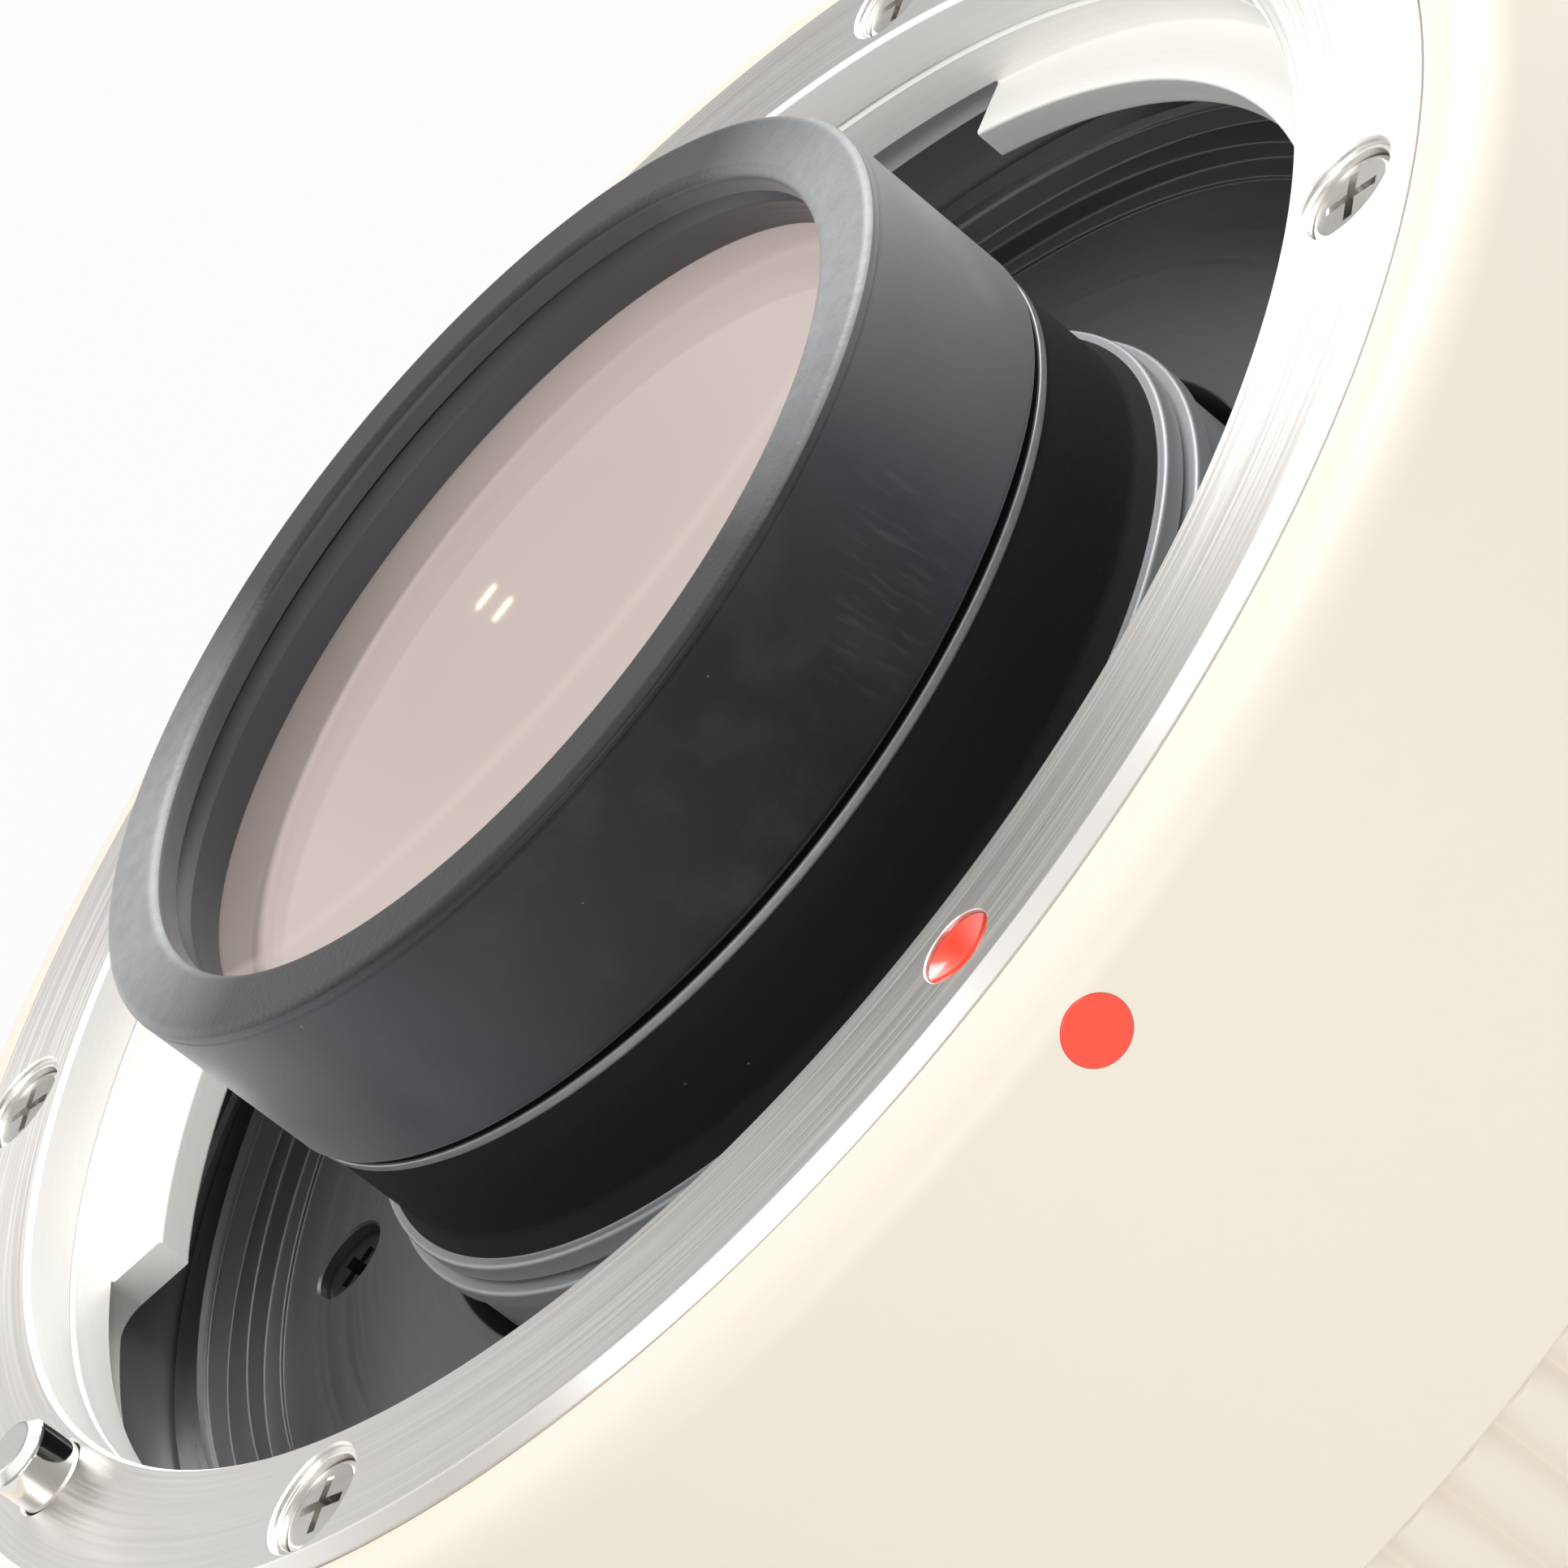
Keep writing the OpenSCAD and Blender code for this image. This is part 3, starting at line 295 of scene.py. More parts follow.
def standing(solid, angle, height):
    """The solid turned so that its own axis points outwards at an angle, at a height."""
    points, faces = solid
    return moved((points[:, (2, 0, 1)], faces), 0.0, angle, height)


def joined(solids):
    """Several solids as one set of points and faces."""
    offset = 0
    faces = []
    for points, own in solids:
        faces += [[corner + offset for corner in face] for face in own]
        offset += len(points)
    return np.concatenate([points for points, own in solids]), faces


def box_solid(low, high):
    """Rectangular solid between two corners, for cutting."""
    plan = np.array(((low[0], low[1]), (high[0], low[1]), (high[0], high[1]), (low[0], high[1])))
    return prism(plan, plan, low[2], high[2])


def to_mesh(name, solid):
    """A closed mesh with outward normals from points in millimetres."""
    points, faces = solid
    mesh = bpy.data.meshes.new(name)
    mesh.from_pydata((points * MM).tolist(), [], faces)
    work = bmesh.new()
    work.from_mesh(mesh)
    bmesh.ops.remove_doubles(work, verts=work.verts, dist=1e-7)
    bmesh.ops.recalc_face_normals(work, faces=work.faces)
    work.to_mesh(mesh)
    work.free()
    return mesh


def carve(mesh, solids):
    """The mesh with separate solids cut out of it."""
    tool = bpy.data.objects.new("cutter", to_mesh("cutter", joined(solids)))
    block = bpy.data.objects.new("block", mesh)
    for thing in (tool, block):
        bpy.context.scene.collection.objects.link(thing)
    cut = block.modifiers.new("cut", "BOOLEAN")
    cut.operation = "DIFFERENCE"
    cut.solver = "EXACT"
    cut.object = tool
    graph = bpy.context.evaluated_depsgraph_get()
    result = bpy.data.meshes.new_from_object(block.evaluated_get(graph))
    if not result.polygons:
        raise RuntimeError("nothing is left of " + mesh.name)
    name = mesh.name
    spare = tool.data
    bpy.data.objects.remove(block)
    bpy.data.objects.remove(tool)
    bpy.data.meshes.remove(spare)
    bpy.data.meshes.remove(mesh)
    result.name = name
    result.materials.clear()
    return result


def add_piece(name, shape, finishes, nodes, body="converter", sharp=32.0):
    """Place a finished mesh or solid, which stands for the given nodes and rides on a body."""
    mesh = shape if isinstance(shape, bpy.types.Mesh) else to_mesh(name, shape)
    piece = bpy.data.objects.new(name, mesh)
    bpy.context.scene.collection.objects.link(piece)
    for finish in finishes:
        mesh.materials.append(material(finish))
    mesh.shade_smooth()
    mesh.set_sharp_from_angle(angle=math.radians(sharp))
    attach(piece, body)
    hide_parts(*nodes)
    return piece


def face_places(mesh):
    """Radius and height of each face's middle in millimetres, and the face normals."""
    count = len(mesh.polygons)
    centre = np.zeros(count * 3)
    normal = np.zeros(count * 3)
    mesh.polygons.foreach_get("center", centre)
    mesh.polygons.foreach_get("normal", normal)
    centre = centre.reshape(-1, 3) / MM
    return np.hypot(centre[:, 0], centre[:, 1]), centre[:, 2], normal.reshape(-1, 3)


def paint_faces(mesh, index):
    """Give each face its material index."""
    mesh.polygons.foreach_set("material_index", index.astype(np.int32))
    mesh.update()


def add_node(tree, kind, inputs=None, **settings):
    """A new node with its settings, and with each input set to a value or linked to a socket."""
    node = tree.nodes.new(kind)
    for name, value in settings.items():
        setattr(node, name, value)
    for name, value in (inputs or {}).items():
        if isinstance(value, bpy.types.NodeSocket):
            tree.links.new(value, node.inputs[name])
        else:
            node.inputs[name].default_value = value
    return node


def calc(tree, operation, first, second=0.0):
    """Output of a math node."""
    return add_node(tree, "ShaderNodeMath", {0: first, 1: second}, operation=operation).outputs[0]


def blend(tree, factor, first, second):
    """Output of a colour mix; colours are plain (r, g, b) or sockets."""
    values = [value if isinstance(value, bpy.types.NodeSocket) else (*value, 1.0)
              for value in (first, second)]
    node = add_node(tree, "ShaderNodeMix", data_type="RGBA")
    for name, value in (("Factor_Float", factor), ("A_Color", values[0]), ("B_Color", values[1])):
        socket = next(s for s in node.inputs if s.identifier == name)
        if isinstance(value, bpy.types.NodeSocket):
            tree.links.new(value, socket)
        else:
            socket.default_value = value
    return next(s for s in node.outputs if s.identifier == "Result_Color")


def spread(tree, value, low, high, to_low=0.0, to_high=1.0):
    """A value mapped from one range to another and kept inside it."""
    return add_node(tree, "ShaderNodeMapRange", {"Value": value, "From Min": low, "From Max": high,
                                                "To Min": to_low, "To Max": to_high}).outputs[0]


def noise(tree, place, scale, detail, roughness=0.5):
    """Soft noise at a place."""
    return add_node(tree, "ShaderNodeTexNoise", {"Vector": place, "Scale": scale, "Detail": detail,
                                                 "Roughness": roughness}).outputs[0]


def around_axis(tree, vector):
    """Coordinates x, y and z of a place, and its angle round the axis."""
    x, y, z = add_node(tree, "ShaderNodeSeparateXYZ", {0: vector}).outputs
    return x, y, z, calc(tree, "ARCTAN2", y, x)


def new_group(name, inputs, outputs):
    """An empty shader group that takes a place and named values, with the sockets inside it."""
    tree = bpy.data.node_groups.new(name, "ShaderNodeTree")
    tree.interface.new_socket("Vector", in_out="INPUT", socket_type="NodeSocketVector")
    for label in inputs:
        tree.interface.new_socket(label, in_out="INPUT", socket_type="NodeSocketFloat")
    for label in outputs:
        tree.interface.new_socket(label, in_out="OUTPUT", socket_type="NodeSocketFloat")
    return tree, tree.nodes.new("NodeGroupInput").outputs, tree.nodes.new("NodeGroupOutput").inputs


def turned_group():
    """Fine lines round the axis, as a lathe leaves them."""
    tree, given, result = new_group("Turned lines", ("Pitch", "Waver"), ("Lines",))
    x, y, z, angle = around_axis(tree, given["Vector"])
    flat = add_node(tree, "ShaderNodeCombineXYZ", {0: x, 1: y}).outputs[0]
    radius = add_node(tree, "ShaderNodeVectorMath", {0: flat}, operation="LENGTH").outputs["Value"]
    across = calc(tree, "MULTIPLY", calc(tree, "ADD", radius, z), given["Pitch"])
    along = calc(tree, "MULTIPLY", angle, given["Waver"])
    place = add_node(tree, "ShaderNodeCombineXYZ", {0: across, 1: along}).outputs[0]
    tree.links.new(noise(tree, place, 1.0, 3.0, 0.65), result["Lines"])
    return tree


def dust_group():
    """Scattered specks: small discs in a share of the cells of a cell pattern."""
    tree, given, result = new_group("Dust specks", ("Scale", "Share", "Size"), ("Mask",))
    cells = add_node(tree, "ShaderNodeTexVoronoi", {"Vector": given["Vector"], "Scale": given["Scale"]})
    chance = add_node(tree, "ShaderNodeSeparateColor", {0: cells.outputs["Color"]})
    chosen = calc(tree, "LESS_THAN", chance.outputs[0], given["Share"])
    size = calc(tree, "MULTIPLY", given["Size"], calc(tree, "ADD", chance.outputs[1], 0.25))
    inside = spread(tree, calc(tree, "DIVIDE", cells.outputs["Distance"], size), 1.0, 0.6)
    tree.links.new(calc(tree, "MULTIPLY", inside, chosen), result["Mask"])
    return tree


def scuff_group():
    """Short light strokes on the wall of a cylinder, slanted by a given amount."""
    tree, given, result = new_group("Scuffs", ("Radius", "Slant", "Share"), ("Mask",))
    _, _, z, angle = around_axis(tree, given["Vector"])
    around = calc(tree, "MULTIPLY", angle, given["Radius"])
    sheared = calc(tree, "ADD", around, calc(tree, "MULTIPLY", z, given["Slant"]))
    place = add_node(tree, "ShaderNodeCombineXYZ", {0: calc(tree, "MULTIPLY", sheared, 3600.0),
                                                    1: calc(tree, "MULTIPLY", z, 620.0)}).outputs[0]
    strokes = noise(tree, place, 1.0, 2.0)
    lines = spread(tree, strokes, calc(tree, "SUBTRACT", 0.75, given["Share"]), 0.80)
    tree.links.new(lines, result["Mask"])
    return tree


def patch_group():
    """Soft-edged patch at an angle and a height on the wall of a cylinder."""
    tree, given, result = new_group("Patch", ("Angle", "Reach", "Height", "Tall"), ("Mask",))
    _, _, z, angle = around_axis(tree, given["Vector"])
    aside = calc(tree, "DIVIDE", calc(tree, "SUBTRACT", angle, given["Angle"]), given["Reach"])
    above = calc(tree, "DIVIDE", calc(tree, "SUBTRACT", z, given["Height"]), given["Tall"])
    square = calc(tree, "ADD", calc(tree, "MULTIPLY", aside, aside), calc(tree, "MULTIPLY", above, above))
    tree.links.new(spread(tree, square, 1.0, 0.0), result["Mask"])
    return tree


def sides_group():
    """One at two opposite sides of the axis and nought between them: the cosine of twice the angle, which
    places the painted highlights on the rubber.
    """
    tree, given, result = new_group("Two sides", ("Angle",), ("Mask",))
    _, _, _, angle = around_axis(tree, given["Vector"])
    twice = calc(tree, "MULTIPLY", calc(tree, "SUBTRACT", angle, given["Angle"]), 2.0)
    tree.links.new(spread(tree, calc(tree, "COSINE", twice), -0.1, 0.9), result["Mask"])
    return tree


def grain_group():
    """Two sizes of soft noise: broad for the colour, fine for the relief."""
    tree, given, result = new_group("Grain", ("Broad", "Fine"), ("Tone", "Height"))
    tree.links.new(noise(tree, given["Vector"], given["Broad"], 4.0), result["Tone"])
    tree.links.new(noise(tree, given["Vector"], given["Fine"], 3.0, 0.6), result["Height"])
    return tree


class Finish:
    """A material in the making: its tree, its main shader, its coordinates and the shared groups."""

    def __init__(self, name, groups, **constants):
        self.material = bpy.data.materials.new(name + "_finish")
        self.material.use_nodes = True
        self.tree = self.material.node_tree
        self.shader = next(n for n in self.tree.nodes if n.type == "BSDF_PRINCIPLED")
        self.groups = groups
        self.place = add_node(self.tree, "ShaderNodeTexCoord").outputs["Object"]
        for key, value in constants.items():
            self.shader.inputs[key.replace("_", " ")].default_value = value

    def group(self, name, **inputs):
        """A use of a shared group at the material's coordinates."""
        node = add_node(self.tree, "ShaderNodeGroup", node_tree=self.groups[name])
        self.tree.links.new(self.place, node.inputs["Vector"])
        for key, value in inputs.items():
            node.inputs[key].default_value = value
        return node.outputs

    def patch(self, angle, reach, height, tall):
        """Mask of a soft patch, in degrees round the axis and millimetres along it."""
        return self.group("patch", Angle=math.radians(angle), Reach=math.radians(reach),
                          Height=height * MM, Tall=tall * MM)["Mask"]

    def cover(self, mask, share, tone):
        """Lay a colour over the base colour where a mask is set."""
        under = self.shader.inputs["Base Color"].links[0].from_socket
        self.feed("Base Color", blend(self.tree, calc(self.tree, "MULTIPLY", mask, share), under, tone))

    def brushed(self, amount):
        """Stretch the reflections across the lines that run round the axis."""
        tangent = add_node(self.tree, "ShaderNodeTangent", direction_type="RADIAL", axis="Z")
        self.tree.links.new(tangent.outputs[0], self.shader.inputs["Tangent"])
        self.shader.inputs["Anisotropic"].default_value = amount
        self.shader.inputs["Anisotropic Rotation"].default_value = 0.25

    def feed(self, name, value):
        """Link or set one input of the main shader."""
        if isinstance(value, bpy.types.NodeSocket):
            self.tree.links.new(value, self.shader.inputs[name])
        else:
            self.shader.inputs[name].default_value = value

    def relief(self, height, strength, distance=0.00002):
        """Bump of the main shader from a height."""
        bump = add_node(self.tree, "ShaderNodeBump", {"Height": height, "Strength": strength,
                                                      "Distance": distance})
        self.tree.links.new(bump.outputs[0], self.shader.inputs["Normal"])


def tint(value, factor):
    """A colour made lighter or darker."""
    return tuple(min(1.0, part * factor) for part in value)


def painted(name, groups, base, roughness, broad, fine, strength, variation=0.04, **constants):
    """Paint, plastic or rubber: mottled colour, fine relief and uneven gloss."""
    finish = Finish(name, groups, **constants)
    grain = finish.group("grain", Broad=broad, Fine=fine)
    tone = blend(finish.tree, grain["Tone"], tint(base, 1.0 - variation), tint(base, 1.0 + variation))
    gloss = spread(finish.tree, grain["Tone"], 0.25, 0.75, roughness * 0.9, min(1.0, roughness * 1.1))
    finish.feed("Base Color", tone)
    finish.feed("Roughness", gloss)
    finish.relief(grain["Height"], strength, 0.00005)
    return finish


def turned(name, groups, base, roughness, pitch, waver, strength, metallic=1.0, variation=0.06):
    """Machined metal: fine lines round the axis in the colour, the gloss and the relief."""
    finish = Finish(name, groups, Metallic=metallic)
    lines = finish.group("turned", Pitch=pitch, Waver=waver)["Lines"]
    grain = finish.group("grain", Broad=120.0, Fine=2500.0)
    tone = blend(finish.tree, lines, tint(base, 1.0 - variation), tint(base, 1.0 + variation))
    stain = spread(finish.tree, grain["Tone"], 0.35, 0.75, 0.0, 0.25)
    gloss = spread(finish.tree, lines, 0.25, 0.75, roughness * 0.8, min(1.0, roughness * 1.25))
    finish.feed("Base Color", blend(finish.tree, stain, tone, tint(base, 0.93)))
    finish.feed("Roughness", gloss)
    finish.relief(lines, strength)
    return finish


def add_specks(finish, strength, tone, scale, share, size):
    """Lay dust over a finish: small pale specks."""
    mask = finish.group("dust", Scale=scale, Share=share, Size=size)["Mask"]
    finish.cover(mask, strength, tone)
    return mask


def rubber_finish(groups, base):
    """Satin rubber: painted sheen that is pale all round but the index side, a painted highlight at two
    sides, chalk, strokes, a smear and dust.
    """
    # Painted sheen: the rubber is made 5.6 times paler all round.
    soft = painted("rubber", groups, tint(base, 5.6), 0.36, 190.0, 4200.0, 0.20, 0.22,
                   Sheen_Weight=0.24, Sheen_Roughness=0.35, Specular_IOR_Level=0.22)
    # The index side is taken back to the plain dark colour; the paler rest is painted sheen.
    soft.cover(soft.patch(-92.0, 46.0, 30.0, 60.0), 1.0, base)
    hatch = soft.group("scuff", Radius=0.01645, Slant=0.12, Share=0.24)["Mask"]
    for place in ((-60.0, 12.0, 29.2, 2.6), (-72.0, 7.0, 28.6, 1.8), (-38.0, 10.0, 29.6, 2.4)):
        strokes = calc(soft.tree, "MULTIPLY", hatch, soft.patch(*place))
        soft.cover(strokes, 0.45, (0.10, 0.104, 0.112))
    soft.cover(soft.patch(-22.5, 4.5, 28.7, 0.9), 0.5, (0.30, 0.31, 0.32))
    chalk = soft.group("grain", Broad=420.0, Fine=2600.0)["Tone"]
    soft.cover(spread(soft.tree, chalk, 0.5, 0.75), 0.4, (0.05, 0.053, 0.06))
    # Painted highlight at two opposite sides of the sleeve, made patchy by the chalk grain.
    sides = soft.group("sides", Angle=math.radians(-11.0))["Mask"]
    painted_highlight_mask = calc(soft.tree, "MULTIPLY", sides, spread(soft.tree, chalk, 0.3, 0.7, 0.75, 1.0))
    soft.cover(painted_highlight_mask, 0.9, (0.15, 0.156, 0.162))
    add_specks(soft, 0.5, (0.30, 0.30, 0.31), 1300.0, 0.04, 0.07)


def rim_finish(groups, base):
    """The same rubber on the flat rim: grainy, with a painted highlight at two opposite sides."""
    rim_with_painted_highlight = painted("rubber_rim", groups, base, 0.42, 190.0, 5200.0, 0.35, 0.2, Sheen_Weight=0.12)
    # Painted highlight: the rim is made pale at two opposite sides, made patchy by a fine grain.
    sides = rim_with_painted_highlight.group("sides", Angle=math.radians(-24.0))["Mask"]
    grit = rim_with_painted_highlight.group("grain", Broad=1500.0, Fine=6000.0)["Tone"]
    painted_highlight_mask = calc(rim_with_painted_highlight.tree, "MULTIPLY", sides, spread(rim_with_painted_highlight.tree, grit, 0.3, 0.7, 0.78, 1.0))
    rim_with_painted_highlight.cover(painted_highlight_mask, 1.0, (0.30, 0.31, 0.316))
    rim_with_painted_highlight.brushed(0.5)


def ring_gap(finish, x, y, reach):
    """Signed distance from a circle about (x, y), seen along the axis: more than nought outside it."""
    tree = finish.tree
    centre = (x * MM, y * MM, 0.0)
    offset = add_node(tree, "ShaderNodeVectorMath", {0: finish.place, 1: centre}, operation="SUBTRACT")
    flat = add_node(tree, "ShaderNodeVectorMath", {0: offset.outputs[0], 1: (1.0, 1.0, 0.0)},
                    operation="MULTIPLY")
    away = add_node(tree, "ShaderNodeVectorMath", {0: flat.outputs[0]}, operation="LENGTH")
    return calc(tree, "SUBTRACT", away.outputs["Value"], reach * MM)


def glass_finish(groups, coating):
    """Coated glass: a pale diffuse tint that is painted light for the coating's reflection and the light
    through the glass, paler toward its edge, with a dark curved band of painted shade inside a pale line of
    painted reflection, a curved painted reflection, and dust.
    """
    glass = Finish("coated_glass", groups, Metallic=0.0, Transmission_Weight=0.12, Roughness=0.05, IOR=1.5,
                   Specular_IOR_Level=0.2)
    tree = glass.tree
    haze = glass.group("grain", Broad=70.0, Fine=2000.0)["Tone"]
    # Painted light: the pale pink base stands in for the coating's reflection and the light through the
    # glass.
    glass.feed("Base Color", blend(tree, haze, tint(coating, 0.98), tint(coating, 1.02)))
    # Paler toward the edge, as part of the same painted light.
    outer = spread(tree, ring_gap(glass, 0.0, 0.0, 0.0), 5.0 * MM, 13.0 * MM)
    glass.cover(outer, 0.3, tint(coating, 1.4))
    # Painted shade: a dark curved band on the left, where the rim darkens the reflection.
    x = add_node(tree, "ShaderNodeSeparateXYZ", {0: glass.place}).outputs[0]
    left = spread(tree, x, 9.0 * MM, -5.0 * MM, 0.25, 1.0)
    outside = ring_gap(glass, 0.57, -4.4, 14.24)
    painted_shade_crescent = calc(tree, "MULTIPLY", spread(tree, outside, 0.0, 0.5 * MM), left)
    glass.cover(painted_shade_crescent, 0.95, tint(coating, 0.58))
    # Painted reflection: a pale line along the edge of the painted shade.
    edge = spread(tree, calc(tree, "ABSOLUTE", outside), 0.4 * MM, 0.05 * MM)
    glass.cover(calc(tree, "MULTIPLY", edge, left), 0.3, tint(coating, 1.3))
    # Painted reflection: a curved pale line across the glass.
    painted_reflection_streak = spread(tree, calc(tree, "ABSOLUTE", ring_gap(glass, 1.8, 12.7, 19.1)), 0.5 * MM, 0.08 * MM)
    glass.cover(painted_reflection_streak, 0.4, tint(coating, 1.25))
    speck = add_specks(glass, 0.5, (0.85, 0.82, 0.80), 900.0, 0.02, 0.05)
    glass.feed("Roughness", spread(tree, speck, 0.0, 1.0, 0.04, 0.5))


def inner_glass_finish(groups):
    """Clear glass of the elements behind the front one, faintly tinted and hazed."""
    clear = Finish("glass", groups, Metallic=0.12, Transmission_Weight=0.9, Roughness=0.03, IOR=1.5)
    haze = clear.group("grain", Broad=80.0, Fine=2000.0)
    clear.feed("Base Color", blend(clear.tree, haze["Tone"], (0.72, 0.70, 0.74), (0.78, 0.74, 0.76)))
    clear.feed("Roughness", spread(clear.tree, haze["Height"], 0.3, 0.7, 0.02, 0.05))


def make_finishes(context):
    """All the finishes, each from its colours, gloss, size of grain or lines, and relief."""
    chosen = context.scene.converter_colours
    names = ConverterColours.__annotations__
    colours = types.SimpleNamespace(**{name: tuple(getattr(chosen, name)) for name in names})
    groups = {"turned": turned_group(), "dust": dust_group(), "scuff": scuff_group(), "grain": grain_group(),
              "patch": patch_group(), "sides": sides_group()}
    steel = colours.steel
    black = colours.black
    paint = painted("cream_paint", groups, colours.cream, 0.42, 60.0, 1100.0, 0.18, 0.012)
    add_specks(paint, 0.3, tint(colours.cream, 0.8), 700.0, 0.04, 0.06)
    painted("cream_grip", groups, tint(colours.cream, 0.985), 0.46, 80.0, 1800.0, 0.10, 0.02)
    turned("mount_steel", groups, steel, 0.34, 9000.0, 1.6, 0.03, 1.0, 0.025).brushed(0.75)
    # Painted light: a lighter, less metallic copy of the mount steel for the brightly lit throat and claws.
    turned("throat_steel", groups, tint(steel, 1.2), 0.45, 5000.0, 0.8, 0.06, 0.15)
    turned("screw_steel", groups, tint(steel, 0.94), 0.20, 4000.0, 3.0, 0.08)
    turned("pin_steel", groups, tint(steel, 1.05), 0.10, 4000.0, 3.0, 0.04)
    turned("spring_steel", groups, (0.60, 0.59, 0.57), 0.32, 5000.0, 6.0, 0.10)
    turned("black_anodised", groups, tint(black, 1.2), 0.30, 3500.0, 0.9, 0.16, 0.0)
    turned("well_black", groups, colours.well, 0.34, 3500.0, 0.9, 0.12, 0.0).brushed(0.6)
    # Painted light: a copy of the well colour 2.6 times lighter, standing in for the light and glints on the
    # upper step and the relief wall.
    turned("step_black", groups, tint(colours.well, 2.6), 0.34, 3500.0, 0.9, 0.12, 0.0)
    turned("satin_ring", groups, tint(black, 2.3), 0.36, 6000.0, 0.6, 0.10, 0.0)
    turned("barrel_rings", groups, (0.41, 0.42, 0.44), 0.42, 4500.0, 0.6, 0.06, 0.3)
    turned("lip_edge", groups, (0.34, 0.345, 0.35), 0.36, 6000.0, 20.0, 0.10, 0.5, 0.25)
    turned("gold", groups, colours.gold, 0.2, 4000.0, 4.0, 0.06)
    turned("black_screw", groups, (0.05, 0.05, 0.052), 0.34, 4000.0, 4.0, 0.1, 0.6)
    painted("black_plastic", groups, black, 0.5, 150.0, 3000.0, 0.15, 0.12)
    flock = painted("black_barrel", groups, colours.band, 0.75, 260.0, 5000.0, 0.4, 0.2,
                    Specular_IOR_Level=0.25)
    add_specks(flock, 0.7, (0.32, 0.32, 0.34), 1300.0, 0.04, 0.09)
    painted("red_lacquer", groups, colours.red, 0.18, 500.0, 1800.0, 0.05, 0.05,
            Coat_Weight=1.0, Coat_Roughness=0.12)
    painted("flex_film", groups, (0.45, 0.26, 0.09), 0.35, 120.0, 2500.0, 0.1, 0.08)
    rubber_finish(groups, colours.rubber)
    rim_finish(groups, colours.rubber)
    glass_finish(groups, colours.glass)
    inner_glass_finish(groups)


def material(name):
    """A finish made earlier."""
    return bpy.data.materials[name + "_finish"]


class CONVERTER_OT_finishes(bpy.types.Operator):
    """Make the finishes of the converter"""

    bl_idname = "converter.finishes"
    bl_label = "Make finishes"
    bl_options = {"REGISTER", "UNDO"}

    def execute(self, context):
        make_finishes(context)
        return {"FINISHED"}


class CONVERTER_OT_body(bpy.types.Operator):
    """Add the shell, the ribbed grip ring and the red dots on them"""

    bl_idname = "converter.body"
    bl_label = "Add body"
    bl_options = {"REGISTER", "UNDO"}

    def execute(self, context):
        s = sizes(context)
        self.shell(s)
        self.grip(s)
        self.marks(s)
        return {"FINISHED"}

    def shell(self, s):
        """Tube with a rounded front edge, a slot for the release stem and a seat for the dot."""
        outline = rounded([(s.bore, s.body_back, 0.05), (s.body, s.body_back, 0.12),
                           (s.body, s.body_front, s.body_edge), (s.bore, s.body_front, 0.1)], 10)
        mesh = to_mesh("shell", lathe(outline, 720))
        slot = moved(box_solid((s.bore - 1.0, -2.3, 11.0), (s.body + 1.0, 2.3, 16.6)), 0.0, LOCK_ANGLE)
        seat = lathe(np.array(((0.0, s.body - 0.3), (1.0, s.body - 0.3),
                               (1.0, s.body + 0.5), (0.0, s.body + 0.5))), 96)
        mesh = carve(mesh, [slot, standing(seat, DOT_ANGLE, s.front - DOT_DEPTH)])
        add_piece("shell", mesh, ["cream_paint"], ["outer_shell"])

    def grip(self, s):
        """Ring r(a, z): round ribs side by side, cut off by a bevel at the rear and softened at the front."""
        crest = s.body - 0.1
        rib = math.pi * s.body / s.rib_count * 1.08
        angle = np.linspace(0.0, TURN, s.rib_count * 18, endpoint=False)
        along = (angle / TURN * s.rib_count + 0.5) % 1.0 - 0.5
        offset = along * TURN / s.rib_count * (crest - rib)
        wave = crest - rib + np.sqrt(np.maximum(rib ** 2 - offset ** 2, 0.0))
        wave = np.maximum(wave, crest - s.rib_height)
        height = np.concatenate((np.linspace(s.grip_back, s.grip_back + 1.05, 8),
                                 np.linspace(s.grip_back + 1.3, s.body_back - 0.3, 5),
                                 s.body_back - 0.25 * np.linspace(1.0, 0.0, 5)))
        limit = np.minimum(crest, crest - (s.grip_back + 1.0 - height))
        limit = np.minimum(limit, crest - 0.2 * np.clip((height - s.body_back + 0.25) / 0.25, 0.0, 1.0) ** 2)
        radius = np.minimum(wave[None, :], limit[:, None])
        inside = np.full((1, len(angle)), s.bore)
        radius = np.concatenate((inside, radius, inside))
        height = np.concatenate((height[:1], height, height[-1:]))[:, None]
        points = np.stack((radius * np.cos(angle), radius * np.sin(angle),
                           np.broadcast_to(height, radius.shape)), axis=-1)
        mesh = to_mesh("grip", (points.reshape(-1, 3), grid_faces(*radius.shape, True, True).tolist()))
        seat = lathe(np.array(((0.0, 32.85), (1.15, 32.85), (1.15, 35.0), (0.0, 35.0))), 64)
        mesh = carve(mesh, [standing(seat, BEAD_ANGLE, BEAD_HEIGHT)])
        add_piece("grip", mesh, ["cream_grip"], ["grip_ring"], sharp=50.0)

    def marks(self, s):
        """Dot set flush in the shell, and a domed bead on the grip ring."""
        outline = rounded([(0.0, s.body - 0.3, 0.0), (0.995, s.body - 0.3, 0.0), (0.995, s.body + 0.02, 0.04),
                           (0.0, s.body + 0.03, 0.0)], 5)
        points, faces = lathe(outline, 96)
        points[:, 2] += np.sqrt(s.body ** 2 - points[:, 0] ** 2) - s.body
        dot = standing((points, faces), DOT_ANGLE, s.front - DOT_DEPTH)
        add_piece("body_dot", dot, ["red_lacquer"], ["body_index_dot"])
        reach = np.linspace(1.1, 0.0, 16)
        dome = np.column_stack((reach, 33.05 + np.sqrt(1.3 ** 2 - reach ** 2)))
        outline = np.concatenate((np.array(((0.0, 32.86), (1.1, 32.86))), dome))
        bead = standing(lathe(outline, 64), BEAD_ANGLE, BEAD_HEIGHT)
        add_piece("index_bead", bead, ["red_lacquer"], ["rear_index_bead"])


